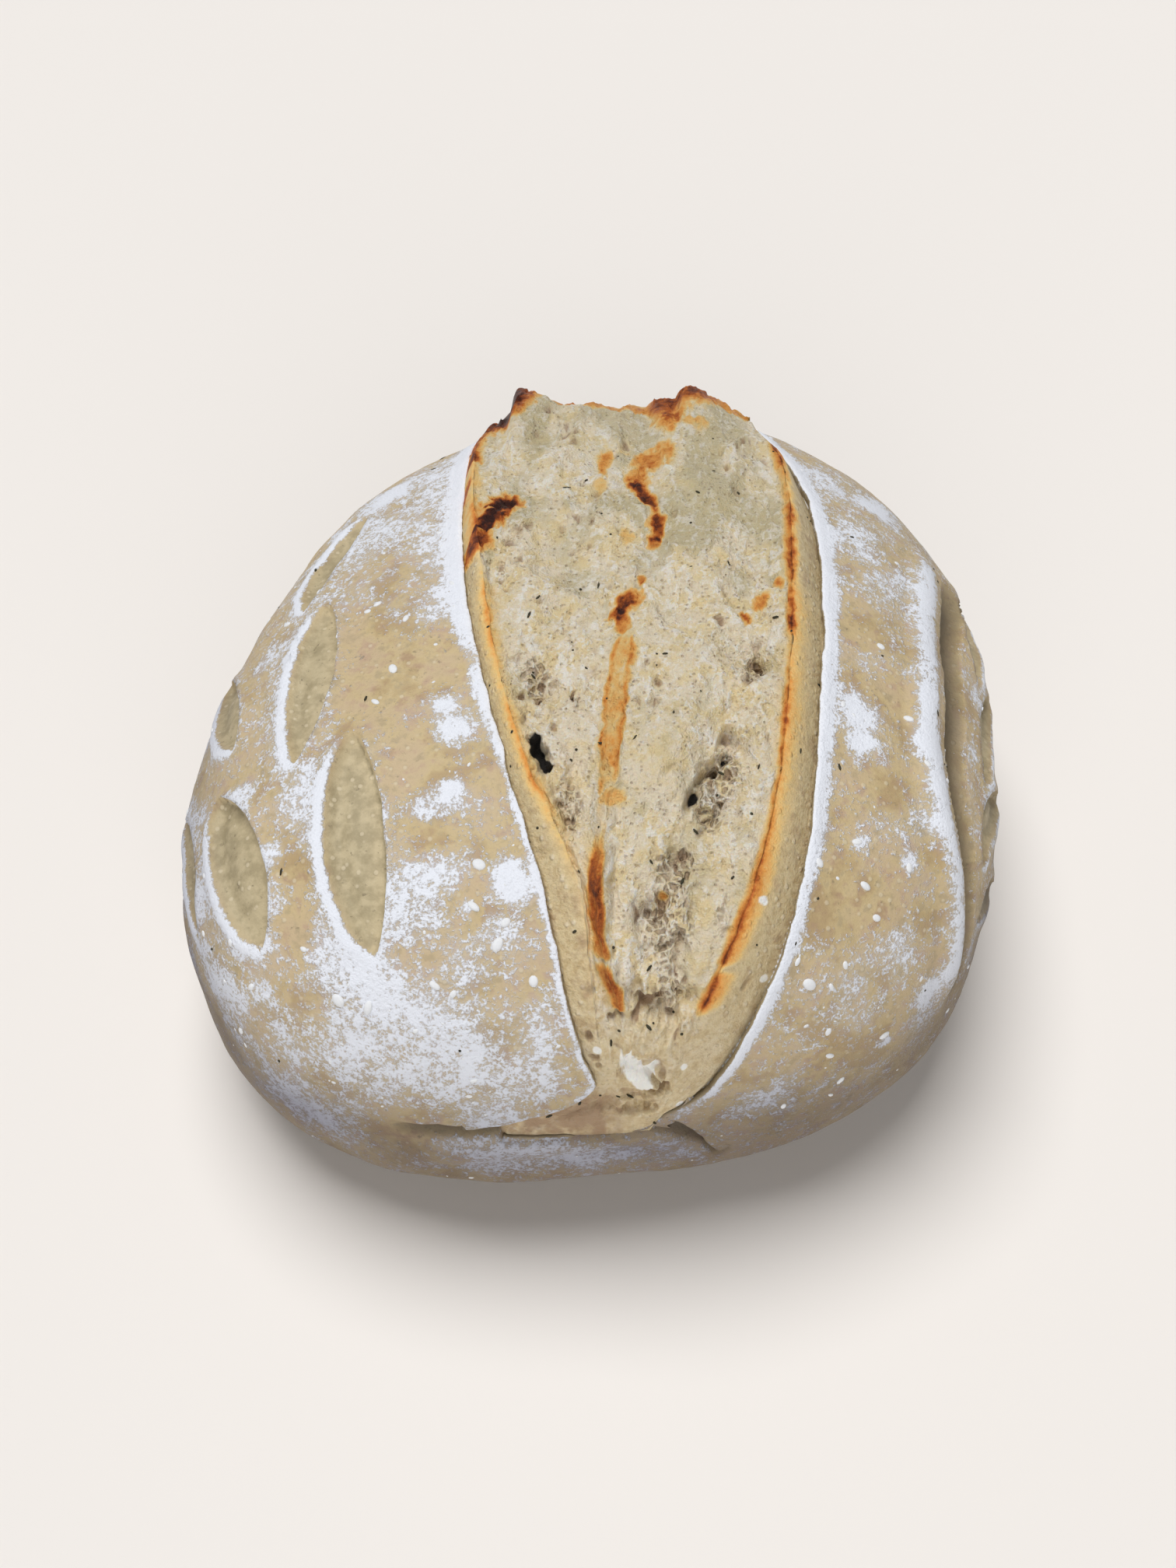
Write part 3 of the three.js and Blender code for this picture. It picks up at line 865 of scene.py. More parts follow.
@dataclass
class SkinLip:
    """The curled, floured edge of the skin along one stretch of the burst."""

    form: LoafForm
    side: LipSide
    path: Array  # rows of (angle up from the front, X)
    inward: int  # 1 where the burst is on the lip's left as the path runs, otherwise -1
    height: float = 1.0  # as a share of the cross-section's height
    around: int = 28
    spacing: float = 0.6
    steps: int = 600  # along the lip, at which its line is worked out
    # The cross-section, as (towards the burst, above the crust), going round once.
    section: Rows = (
        (-10, -0.9), (-8.2, -0.4), (-6.4, -0.1), (-4.6, 0.06), (-3, 0.2), (-1.7, 0.32), (-0.8, 0.2),
        (-0.3, -0.25), (-0.35, -0.9), (-0.7, -1.9), (-1.8, -3.2), (-4.6, -4.0), (-8, -3.2),
    )

    def knots(self) -> tuple[Array, Array]:
        """The path's points on the crust, and how far along the path each is, in millimetres."""
        knots = self.form.on_burst(self.path[:, 0], self.path[:, 1], np.zeros(len(self.path)))
        return knots, np.concatenate([[0], np.cumsum(np.linalg.norm(np.diff(knots, axis=0), axis=1))])

    def place(self, turn: Array, fall: Array) -> tuple[Array, dict]:
        """Gives each point of the ball its place on the lip.

        Args:
            turn: Share of the way round the cross-section.
            fall: Share of the way along the lip.

        Returns:
            Points in metres, and the values that the crust's material reads.
        """
        form = self.form
        knots, along = self.knots()
        fine = np.linspace(0, along[-1], self.steps)
        line = np.stack([smooth_through(tuple(zip(along, axis)), fine) for axis in knots.T], axis=-1)
        line = form.on_crust(unit(line))
        tangent = unit(np.gradient(line, axis=0))
        outward = form.outward(line)
        inward = self.inward * unit(np.cross(outward, tangent))

        def read(values: Array) -> Array:
            """Values along the lip, at each point of the ball."""
            shares = np.linspace(0, 1, self.steps)
            return np.stack([np.interp(fall, shares, axis) for axis in values.T], axis=-1)

        at, out, toward = read(line), unit(read(outward)), unit(read(inward))
        ring = [*self.section, self.section[0]]
        shares = np.linspace(0, 1, len(ring))
        across, rise = (smooth_through(tuple(zip(shares, column)), turn) for column in zip(*ring))
        ends = np.sqrt(np.clip(np.minimum(fall, 1 - fall) / 0.03, 0, 1))
        degrees = np.degrees(np.arctan2(at[:, 2], -at[:, 1]))
        wobble = 0.4 * swell(at, 9, 21) + 0.25 * swell(at, 3.2, 22)
        lift = self.height * (0.9 + 0.4 * swell(at, 14, 23))
        edge = ease(across, -3.5, -0.8)
        wall = ease(-rise, -0.15, 0.3) * ease(across, -1.6, -0.7)
        across = across * mix(0.3, 1.0, ends) + wobble * ends * edge
        rise = np.where(rise > 0, rise * lift, rise) * ends - 0.8 * (1 - ends)
        rise += self.height * form.lip_swell(np.maximum(-across, 0), degrees)
        skin = form.on_crust(unit(at + across[:, None] * toward))
        points = skin + (rise + form.unevenness(skin) + 0.14 * rough(skin, 3.6, 3))[:, None] * out
        dust = FlourDust(form)
        white = dust.clouds(unit(skin)) + dust.along_lip(-across - 0.5, degrees, self.inward < 0) - 1.6 * wall
        # The lips' inner walls take the cut's bare colour and, through brown, painted shade.
        bare = 0.9 * wall
        # base gives the lips the same painted shade low down as the crust.
        values = {"flour": white, "floor": bare, "brown": 0.5 * bare, "base": form.low_browning_and_shade(skin)}
        return form.in_frame(points), values

    def build(self, material: Any) -> Any:
        """Makes the lip."""
        rows = int(self.knots()[1][-1] / self.spacing)
        return shaped_ball(self.side.value, self.around, rows, self.place, material)


# ---- The burst ----


@dataclass(frozen=True)
class Spot:
    """A place on the burst: angle up from the front, X, its reach along and across in mm, and its amount."""

    degrees: float
    x: float
    along: float
    across: float
    amount: float
    slant: float = 0.0  # how far its upper end leans towards +X, in mm across for each mm along


def spots_at(*rows: tuple[float, ...]) -> tuple[Spot, ...]:
    """Spots from rows that hold their values in order."""
    return tuple(Spot(*row) for row in rows)


# Browned places.
TOASTED_SPOTS = spots_at(
    (120.6, -22.4, 4.2, 4.8, 1.1, 0.3), (117, -25.4, 4.4, 2.8, 1.0, 0.5),
    (111.4, -28.4, 5.6, 3.4, 0.84, 0.3), (124, 15.2, 6.5, 2.2, 0.9, -0.4), (117, 17.6, 4.5, 2.2, 0.85),
    (112, 17.4, 3, 1.6, 0.5), (134, 18, 5, 6.0, 0.5, 0.2), (129, 14.2, 4, 3.6, 0.42),
    (133, 4.7, 5, 2.2, 0.46), (127, 3.5, 5, 2.0, 0.24), (114, 10, 4, 2.2, 0.26),
    (95.8, 9.6, 5.2, 3.0, 0.95, 0.35), (91, 8.4, 3.6, 2.0, 0.5), (102, 14, 2.4, 1.3, 0.55),
    (93.4, 39.5, 2.2, 2.6, 0.66), (97.5, 43.5, 3.6, 2.2, 0.5, 0.3), (101.5, 48.5, 2.4, 1.4, 0.6),
    (143.5, 23, 4, 4.0, 0.66), (141.5, -31, 6, 3.0, 0.75), (134, -32, 4, 2.4, 0.85),
    (127, -33, 4, 1.8, 0.7), (147, -18, 4, 4, 0.7), (43.4, 17.2, 1.2, 1.0, 0.5), (57, 5.5, 2.0, 3.5, 0.34),
)

# Where the crumb tore deeper.
HOLLOWS = spots_at(
    # The black hole on the left and the webs round it.
    (64.4, -11.4, 4.2, 2.2, 8.0, -0.25), (60.2, -8.0, 3.2, 3.6, 2.6, -0.6), (57.2, -6.0, 2.8, 2.6, 1.8),
    (54.4, -4.2, 3.4, 3.0, 2.0), (61.7, -2.6, 3, 1.8, 1.2), (77.6, -11.2, 5.5, 4.2, 2.0, -0.3),
    (70.6, -13.4, 3.2, 2.4, 2.6), (88.2, -15.4, 2.2, 1.7, 1.6), (49, -5.0, 5, 1.8, 1.6, -0.5),
    # The torn channel on the right.
    (67.2, 33.4, 3.4, 2.2, 4.0, 0.2), (63.3, 31.6, 3.2, 2.2, 4.4, 0.5), (60.6, 28.2, 2.8, 2.0, 4.0, 0.9),
    (57.2, 25.0, 3.2, 1.6, 3.8, 0.4), (54.4, 27.6, 2.4, 2.4, 3.0, -0.5), (51.6, 27.0, 2.4, 1.8, 2.0),
    (58.8, 32.4, 4.6, 3.6, 3.0), (74, 35, 3.2, 2.4, 2.4, 0.5), (82.5, 41.6, 4.6, 2.0, 2.4, 0.2),
    (66, 35.4, 4.4, 2.6, 3.0, 0.3), (55.4, 32.5, 2.6, 2.2, 2.4), (62, 27.6, 2.4, 1.4, 2.0),
    # Higher up.
    (112, -25, 7, 4.5, 2.0, 0.3), (106, 35.3, 2.2, 2.4, 2.4), (125.5, 40.4, 3, 1.8, 2.0, 0.5),
    (133.5, 34.5, 2.6, 3.6, 1.2), (139, -12, 5, 5, 1.4), (120, 22.4, 1.6, 1.4, 1.2),
    # The lace low down, and the torn lower edge.
    (40.4, 15.2, 3.6, 3.6, 2.4), (36.6, 20.5, 2.8, 3.4, 2.0), (36.4, 14.0, 2.2, 2.4, 2.0),
    (47.6, 21.0, 3.0, 3.6, 1.3), (43, 24.0, 2.6, 2.2, 1.3), (31.4, 10.8, 3.0, 2.6, 3.8, -0.3),
    (29.4, 13.8, 2.8, 3.4, 4.6, -0.2), (28.0, 18.0, 2.0, 3.4, 4.0), (30, 23, 2.4, 3.0, 2.0),
    (31.2, 0.2, 1.4, 1.4, 1.8), (44, 6.2, 7, 0.8, 1.6),
    # The foot: torn bits on the left, the floured crater with its crack, and the dent under it.
    (24.9, 0.4, 2.0, 1.3, 3.0), (21.6, 1.6, 1.6, 1.6, 2.6), (20.6, 11.2, 3.6, 3.6, 1.4),
    (17.6, 15.6, 3.2, 0.8, 3.0, -0.6), (15.2, 16.2, 0.9, 2.6, 3.2), (14.2, 11.6, 0.8, 3.6, 1.8),
    (11.8, 12.2, 2.4, 3.8, 4.0), (12.4, 4.0, 2.4, 3.0, 1.4), (24, -1.4, 3.0, 1.2, 2.4),
)

# Where the crumb swelled.
SWELLS = spots_at(
    (69, 21, 13, 8, 2.4, 0.5), (58, 18, 8, 7, 1.8), (52, 34, 9, 3.5, 2.0), (84, 22, 9, 8, 1.2),
    (96, -14, 14, 8, 1.6), (106, 28, 12, 9, 1.8), (84, -14, 8, 5, 1.0), (48, 12, 7, 3, 1.4),
    (40, 8.8, 11, 2.0, 1.6, -0.1), (38, 27.4, 10, 3.4, 1.8, 0.3), (57, -6.0, 6, 3.0, 1.0),
    (24, 13, 4, 7, 1.2), (13.5, 19.5, 5, 3.4, 0.9), (120, -6, 9, 8, 1.8), (128, 30, 8, 8, 1.8),
    (112, 10, 8, 5, 1.2), (93, 33, 7, 6, 1.2), (23.5, -0.6, 1.6, 1.6, 1.2),
)

# Where the pores crowd into a web.
LACED_SPOTS = spots_at(
    (40, 18, 10, 6.5, 1.0), (79, -12.5, 8, 4.2, 1.0, -0.3), (55, -4.8, 7, 3.4, 1.0), (83, 41, 8, 2.6, 0.9),
    (60, 31, 8, 4.2, 1.0, 0.3), (41, 30, 5, 2.2, 0.6), (48, 20, 4, 5, 0.9), (31, 18, 3, 6, 0.8),
    (54, 28, 4, 3, 0.8),
)

# Where the crumb tore into smooth folds.
CALM_SPOTS = spots_at(
    (61, 16, 11, 7, 1.0, 0.3), (37, 27, 10, 3.4, 0.8, 0.3), (66, -2.5, 9, 5, 0.7), (48, 12, 6, 3, 0.7),
    (112, -8, 12, 10, 0.6), (124, 32, 12, 10, 0.6), (84, 26, 10, 8, 0.4), (95, -4, 8, 6, 0.5),
    (134, 4, 8, 12, 0.6), (46, 36, 8, 3, 0.5),
)

# Small sharp pores.
PORES = spots_at(
    (96.4, -12.2, 1.3, 1.5, 3.0), (83.7, -17.1, 1.7, 1.5, 3.6), (79.2, -14.6, 1.4, 1.0, 2.0),
    (75.6, -12.4, 1.3, 1.2, 2.4), (74.6, -9.6, 1.6, 1.3, 2.0), (78.4, -8.4, 1.2, 1.2, 2.0),
    (88.1, 42.2, 2.2, 1.0, 3.4, 0.4), (83.4, 42.5, 1.8, 1.2, 3.0), (79.2, 39.5, 2.0, 1.6, 3.0, 0.5),
    (81.5, 17.7, 1.0, 1.1, 2.6), (71.2, 20.8, 0.9, 0.9, 2.0), (86.7, -3.9, 0.9, 0.9, 1.6),
    (86.2, -9.4, 1.0, 0.8, 1.8), (105.2, 35.9, 1.1, 1.4, 3.0), (99.4, -23.7, 1.0, 0.9, 1.6),
    (97.1, 23.4, 0.9, 0.8, 1.6), (120.4, 22.4, 1.0, 0.8, 1.8), (134.3, 36.9, 1.0, 1.0, 1.6),
    (136, 22, 1.0, 0.8, 1.4), (118.5, 41.7, 1.0, 0.9, 1.6), (125.8, 40.0, 1.4, 1.2, 2.4, 0.5),
    (110.2, -21.5, 1.0, 0.8, 1.6), (67.9, 33.4, 1.4, 1.0, 2.8), (63.2, 32.6, 1.6, 1.0, 3.0, 0.5),
    (61.4, 29.6, 1.0, 1.6, 3.0), (56.9, 24.7, 2.0, 0.8, 3.0, 0.3), (53.6, 27.9, 1.0, 1.3, 3.0),
    (51.7, 26.2, 1.1, 1.1, 2.4), (56.2, 31.6, 1.4, 1.0, 2.2), (55.0, 34.6, 0.9, 0.9, 2.0),
    (56.4, -6.4, 1.2, 1.0, 2.4), (53.6, -3.2, 1.2, 1.1, 2.4), (52.1, -4.6, 1.1, 1.0, 2.2),
    (58.4, -7.2, 1.0, 0.9, 2.2), (41.2, 13.4, 1.7, 0.9, 2.8), (39.6, 15.8, 0.9, 0.8, 2.4),
    (48.6, 19.6, 1.2, 0.8, 1.8), (47.0, 20.4, 0.9, 1.2, 1.6), (45.4, 21.8, 0.8, 1.0, 1.6),
    (47.6, 11.4, 0.8, 1.0, 1.8), (38.4, 20.6, 1.0, 0.8, 2.8), (37.2, 17.0, 0.7, 1.4, 2.4),
    (35.4, 13.2, 0.9, 0.9, 2.8), (34.8, 20.4, 1.1, 0.9, 2.6), (33.6, 19.0, 0.9, 1.0, 2.4),
    (31.2, 0.2, 1.0, 1.0, 2.2), (38.9, 31.9, 0.9, 0.9, 2.2), (31.4, 36.7, 1.4, 0.8, 2.6, 0.5),
    (49.0, -11.6, 0.9, 0.8, 1.6), (24.8, 0.2, 1.3, 0.8, 4.0), (21.4, 1.4, 0.9, 1.3, 3.6),
    (18.5, 17.6, 1.6, 0.6, 3.4), (16.2, 18.4, 0.9, 0.9, 5.0), (14.9, 16.4, 0.6, 1.3, 4.0),
    (14.9, 13.8, 0.5, 1.4, 2.6), (28.4, 7.2, 0.9, 1.4, 4.6), (27.8, 5.8, 0.9, 1.0, 3.6),
    (27.9, 18.6, 0.9, 1.2, 3.4), (20.2, 2.6, 0.9, 1.0, 3.2), (11.0, 7.6, 1.4, 0.7, 2.6),
    (10.2, 12.6, 0.6, 3.0, 2.2), (11.4, 16.2, 1.2, 0.7, 2.0),
)

# Holes that reach far into the loaf, with their shadow painted near black.
HOLE_SHADOW_SPOTS = spots_at(
    (66.6, -12.6, 2.0, 1.0, 1.0), (64.6, -11.9, 2.4, 1.5, 1.0, -0.2), (62.6, -10.0, 1.8, 1.2, 0.9, -0.4),
    (63.3, 32.6, 1.1, 0.7, 0.7), (57.0, 24.7, 1.4, 0.6, 0.7, 0.3),
)

# Where flour fell on the crumb.
FLOURED_SPOTS = spots_at(
    (21.0, 10.0, 3.6, 2.8, 1.1), (18.6, 12.2, 3.6, 3.2, 1.2), (16.6, 14.0, 1.8, 2.8, 0.9),
    (20.6, 15.0, 1.6, 1.8, 0.6), (22.8, 2.0, 1.2, 1.2, 0.9), (19.3, 22.4, 1.1, 1.1, 1.3),
    (31.3, 41.0, 1.2, 1.1, 1.2), (42.8, 40.2, 1.6, 1.3, 1.3), (10.6, 22.0, 1.4, 1.0, 1.2),
)


@dataclass
class BurstCrumb:
    """The slab of torn crumb that stands in the burst, with two rims and its smooth outer strips."""

    form: LoafForm
    around: int = 204
    rows: int = 480
    depth: float = 13.0
    top_share: float = 0.93  # of the points round a cross-section, those on the upper side
    front: float = 3.0
    crown: float = 149.0
    back: float = 162.0
    level_top: float = 80.0  # mm above the girth, from where the relief is pressed flatter
    top_spread: float = 2.2
    row_places: Rows = ((0, 3), (0.06, 12), (0.31, 46), (0.93, 149), (1, 162.6))  # crowded at the foot
    stretch: float = 1.6  # how much longer the crumb's strands are along the burst than across
    rolled: float = 90.0  # mm from the axle, where the burst is rolled flat for its tearing
    spot_arm: float = 92.0  # mm from the axle, where the spots' reach along the burst is measured
    crown_span: tuple[float, float] = (-29.5, 47.0)  # X of the torn far edge's ends
    left_rim: Rows = (
        (3, -11), (8, -11), (10, -7), (12, -1), (14.5, 3.6), (18, 5.4), (22, 3.6), (30, 1.5), (44, -1.5),
        (53, -7), (60, -12.6), (66, -15.8), (74, -19.3), (84, -22.6), (96, -25.2), (108, -27.6),
        (125, -30.6), (148, -29.8), (154, -23), (158, -13), (161, 0), (163, 7),
    )
    centre_ridge: Rows = (
        (3, 9), (20, 9), (30, 7), (36, 3.5), (45, 2), (58, 4.5), (75, 7), (96, 11), (125, 14), (152, 12),
        (163, 7.2),
    )
    right_rim: Rows = (
        (3, 14), (15, 20), (28, 25.6), (32, 28.6), (36, 31.4), (42, 36), (51, 41.2), (59, 44.4), (70, 47.2),
        (84, 49.6), (97, 51.3), (112, 52.6), (125, 53.4), (146, 48.5), (152, 40), (157, 28), (160.5, 15),
        (163, 7.5),
    )
    left_rise: Rows = (
        (3, -0.7), (12, -0.6), (20, 0.3), (28, 0.8), (45, 2.4), (65, 3.6), (95, 4.6), (125, 6), (162, 6),
    )
    right_rise: Rows = ((3, 0.2), (20, 0.8), (28, 2.6), (45, 4.2), (65, 5.2), (95, 6), (125, 7), (162, 7))
    centre_rise: Rows = (
        (3, 0.4), (24, 0.2), (30, 2.6), (45, 4.6), (80, 4.8), (98, 3.8), (110, 1.8), (162, 1.8),
    )
    sag: Rows = ((3, 0), (22, 0.2), (34, 2.6), (60, 3.6), (95, 2.8), (125, 2), (162, 0.6))
    # The torn far edge, from rim to rim: (X, height above the crust).
    crown_edge: Rows = (
        (-33, 0.4), (-30, 3.2), (-28.4, 4.6), (-23.4, 5.4), (-22.4, 7.0), (-21.4, 11.6), (-20.2, 12.4),
        (-17.6, 11.0), (-13, 8.2), (-8, 6.2), (1, 4.4), (9, 3.0), (15, 2.6), (18, 3.2), (19.6, 5.6),
        (23, 6.4), (25.4, 6.2), (26.8, 9.0), (29, 10.4), (32, 10.2), (36, 8.8), (41, 5.6), (47, 2.2),
        (52, 0.2),
    )
    # The edge's burnt tips, as (X, half width, amount).
    torn_tips: tuple[tuple[float, float, float], ...] = ((-25, 8, 1.0), (31, 8, 0.7), (21.5, 3.5, 0.6))
    # Shares of a cross-section at the left rim, the centre ridge and the right rim.
    borders: tuple[float, float, float] = (0.12, 0.45, 0.86)

    def spots(self, spots: Sequence[Spot], degrees: Array, x: Array, noise: Array, sharp: float) -> Array:
        """Adds up spots.

        Args:
            spots: The spots.
            degrees: Angles up from the front.
            x: Millimetres across.
            noise: Unevenness of the spots' edges.
            sharp: How steep their edges are: 1 is soft.

        Returns:
            The sum of the spots' amounts at each point.
        """
        total = np.zeros(len(x))
        for spot in spots:
            along = (degrees - spot.degrees) * math.pi / 180 * self.spot_arm
            across = x - spot.x - spot.slant * along
            reach = np.hypot(along / spot.along, across / spot.across) + noise
            total += spot.amount * np.clip(np.exp(-(np.maximum(reach, 0) ** (2 * sharp))), 0, 1)
        return total

    def tearing(self, drawn: Array, laced: Array) -> dict[str, Array]:
        """The torn crumb's relief: ledges, tufts of strands and open pores.

        Args:
            drawn: Places on the burst rolled flat, shortened along it, as the crumb tore into strands.
            laced: Where pores crowd together, beyond those the noise gives.

        Returns:
            The rise in millimetres, two uneven fields, and where the crumb is pitted, tufted and glassy.
        """
        bend = np.stack([swell(drawn, 6.5, 33), swell(drawn, 6.5, 34), np.zeros(len(drawn))], axis=-1)
        kink = np.stack([swell(drawn, 2.1, 35), swell(drawn, 2.1, 36), np.zeros(len(drawn))], axis=-1)
        warped = drawn + 1.9 * bend + 0.55 * kink
        broad = rough(warped, 10, 32, 4)
        fine = rough(warped, 2.4, 31, 3)
        steps = 2.6 * broad
        ledges = (np.floor(steps) + ease(steps - np.floor(steps), 0.32, 0.62)) / 2.6
        strands = 1 - 2.2 * np.abs(swell(warped * np.array([1.0, 0.55, 1.0]), 1.9, 37))
        fuzz = 1 - 2 * np.abs(swell(warped, 1.05, 38))
        pore, _, own = bubbles(warped, 3.3, 41)
        small, next_small, small_own = bubbles(warped, 1.55, 51)
        clustered = np.maximum(ease(swell(warped, 12, 52), 0.0, 0.5), laced)
        radius = 0.2 + 0.34 * own
        big_pit = ease(-pore, -radius, -0.4 * radius) * (own > 0.5) * mix(0.12, 1.0, clustered)
        small_pit = ease(-small, -0.5, -0.24) * ease(small_own, 0.3, 0.7) * mix(0.05, 1.0, clustered)
        near, beyond, net_own = bubbles(warped, 2.5, 61)
        cell = ease(beyond - near, 0.08, 0.4) * ease(net_own, 0.15, 0.6)
        web = ease(next_small - small, 0.05, 0.3) * ease(small_own, 0.2, 0.8)
        net = laced * (0.6 * cell + 0.3 * web)
        rise = 1.5 * ledges + 0.9 * broad + 0.46 * fine + 0.4 * strands + 0.22 * fuzz
        rise -= 1.5 * big_pit + 0.75 * small_pit + net
        cavity = 0.46 * fine + 0.4 * strands + 0.22 * fuzz - 1.5 * big_pit - 0.75 * small_pit - 0.5 * net
        return {
            "rise": rise, "fine": fine, "broad": broad, "pit": ease(-cavity, 0.15, 1.35),
            "tuft": ease(cavity, 0.1, 0.75), "glassy": ease(-ledges - 0.4 * swell(warped, 5, 39), 0.2, 0.7),
        }

    def section(self, share: Array, degrees: Array) -> dict[str, Array]:
        """The smooth cross-section, before its tearing.

        Args:
            share: From 0 at the left skin to 1 at the right skin.
            degrees: Angles up from the front.

        Returns:
            X, rise, which points are crumb, and signed distances in mm from the three browned lines.
        """
        curves = (LEFT_SKIN, self.left_rim, self.centre_ridge, self.right_rim, RIGHT_SKIN)
        skin_l, rim_l, centre, rim_r, skin_r = (smooth_through(rows, degrees) for rows in curves)
        rises = (self.left_rise, self.centre_rise, self.right_rise, self.sag)
        rise_l, rise_c, rise_r, sag = (smooth_through(rows, degrees) for rows in rises)
        a, b, c = self.borders
        strip_l, strip_r = np.clip(share / a, 0, 1), np.clip((1 - share) / (1 - c), 0, 1)
        lobe_l, lobe_r = np.clip((share - a) / (b - a), 0, 1), np.clip((share - b) / (c - b), 0, 1)
        x = np.where(share < a, mix(skin_l - 2.2, rim_l, strip_l), mix(rim_l, centre, lobe_l))
        x = np.where(share > b, mix(centre, rim_r, lobe_r), x)
        x = np.where(share > c, mix(skin_r + 2.2, rim_r, strip_r), x)

        def strip(q: Array, rise: Array) -> Array:
            """The smooth slope from under the skin up to a rim."""
            slope = np.sin(np.pi / 2 * np.clip((q - 0.2) / 0.8, 0, 1)) ** 1.3
            return -0.9 + (rise + 0.9) * slope - 1.8 * np.clip((0.25 - q) / 0.25, 0, 1)

        dip_l = sag * np.sin(np.pi * lobe_l) ** 0.55
        dip_r = sag * np.sin(np.pi * lobe_r) ** 0.55
        rise = np.where(share < a, strip(strip_l, rise_l), mix(rise_l, rise_c, lobe_l) - dip_l)
        rise = np.where(share > b, mix(rise_c, rise_r, lobe_r) - dip_r, rise)
        rise = np.where(share > c, strip(strip_r, rise_r), rise)
        climb = ease(degrees, self.crown - 17, self.crown)
        torn = mix(*self.crown_span, (share - a) / (c - a))
        x = mix(x, torn, climb * ease(-degrees, -157, -150) * (share >= a) * (share <= c))
        edge = smooth_through(self.crown_edge, x)
        rise = mix(rise, edge, climb * (share >= a) * (share <= c))
        strip_rise = mix(rise, np.minimum(rise, edge), climb)
        rise = np.where((share < a) | (share > c), strip_rise, rise)
        behind = ease(degrees, self.crown + 1, self.back - 3)
        rise = mix(rise, mix(0.6, -3.5, ease(degrees, self.back - 6, self.back)), behind)
        crumb = np.where((share >= a) & (share <= c), 1.0, 0.0)
        return {
            "x": x, "rise": rise, "crumb": crumb, "left": x - rim_l, "centre": x - centre, "right": x - rim_r,
            "inset": (skin_r - skin_l) * 0.2, "skin_l": skin_l, "skin_r": skin_r,
        }

    def toast(self, part: dict[str, Array], degrees: Array, noise: Array, shape: Array) -> Array:
        """How browned each point is, from 0 to 1.

        Args:
            part: What section gives.
            degrees: Angles up from the front.
            noise: Unevenness of the browning.
            shape: Unevenness of the spots' edges.

        Returns:
            The browning.
        """
        left, centre, right = part["left"], part["centre"], part["right"]

        def line(off: Array, outer: float, inner: float) -> Array:
            """A browned line that fades over outer mm on its low side and inner mm on its high side."""
            return np.exp(-np.abs(off / np.where(off < 0, outer, inner)) ** 1.5)

        patchy = np.clip(0.75 + 0.9 * noise, 0.25, 1.3)
        burnt = ease(degrees, 104, 122)
        outer, inner = 1.5 + 2.8 * burnt, (0.7 + 1.3 * burnt) * np.clip(1 + 1.6 * shape, 0.3, 2.2)
        left_line = line(left + 0.3, outer, inner) * mix(0.48, 0.74, burnt) * ease(degrees, 50, 62)
        golden = line(left + 0.5, 3.4, 4.2) * 0.24 * between(degrees, 34, 58, 98, 112)
        half = mix(1.7, 3.2, ease(degrees, 50, 74)) * (1 + 0.4 * noise + 0.3 * shape)
        half = half * mix(1.0, 0.7, ease(degrees, 84, 90))
        inside = np.abs(centre + 0.3)
        fill = np.exp(-((inside / half) ** 4)) * mix(0.5, 0.31, ease(degrees, 46, 66))
        fill *= 1 + mix(0.3, 1.0, ease(degrees, 44, 60)) * (0.7 * noise + 0.9 * shape)
        outline = np.exp(-(((inside - 0.8 * half) / 0.6) ** 2)) * mix(0.0, 0.28, ease(degrees, 46, 66))
        outline = outline * (1 + 1.4 * shape)
        streak = np.exp(-(((centre - 0.5 - 0.9 * shape) / 0.75) ** 2)) * ease(-degrees, -48, -42)
        streak = streak * (0.05 + 0.2 * noise)
        halo = line(centre + 0.3, 3.4, 1.6) * 0.27
        centre_line = np.maximum(fill + outline + streak, halo) * between(degrees, 28.4, 29.6, 86, 91)
        centre_line *= 1 - 0.55 * between(degrees, 49, 52, 57, 61)
        centre_line *= 1 - 0.8 * np.exp(-(((degrees - 35.7) / 0.7) ** 2))
        high = ease(degrees, 96, 112)
        tall = ease(degrees, 60, 76)
        right_line = line(right - 0.5 * shape, 0.7 + 0.5 * tall + 0.5 * high, 0.9 + 0.6 * tall + 0.3 * high)
        right_line *= mix(0.58, 0.76, tall) * (1 + 0.5 * shape)
        right_line *= between(degrees, 28, 31, 138, 150)
        low_right = line(right - 0.2, 0.7, 2.0) * mix(0.8, 0.56, ease(degrees, 38, 52))
        low_right = low_right * ease(-degrees, -62, -52)
        low_right = np.maximum(low_right, line(right, 1.2, 4.2) * mix(0.6, 0.34, ease(degrees, 42, 56)))
        low_right = np.maximum(low_right, line(right, 0.5, 6.5) * 0.26)
        low_right *= between(degrees, 27, 30, 96, 112)
        low_right *= 1 - 0.8 * np.exp(-(((degrees - 34.2) / 0.7) ** 2))
        outside = line(right, 4.0, 0.5) * 0.2 * between(degrees, 56, 66, 84, 96)
        low_right = np.maximum(low_right, outside)
        tips = sum(size * np.exp(-(((part["x"] - x) / wide) ** 4)) for x, wide, size in self.torn_tips)
        tips = np.clip(tips, 0, 1)
        reach = 2.6 + 9 * tips * np.clip(1 + 1.2 * noise + 0.8 * shape, 0.35, 1.8)
        crown = ease((degrees - self.crown) / reach, -1.0, -0.1) * mix(0.4, 0.9, tips) * (1 + 0.3 * shape)
        crown *= mix(1.0, 0.5, ease(degrees, self.crown + 0.5, self.crown + 4 + 3 * noise))
        right_line, left_line = right_line * patchy, left_line * patchy
        spots = self.spots(TOASTED_SPOTS, degrees, part["x"], shape, 1.5)
        lines = np.maximum.reduce([left_line, golden, centre_line, right_line, low_right, crown])
        return np.clip(np.maximum(lines * (1 + 0.35 * noise), spots * (1 + 0.2 * noise)), 0, 1.1)

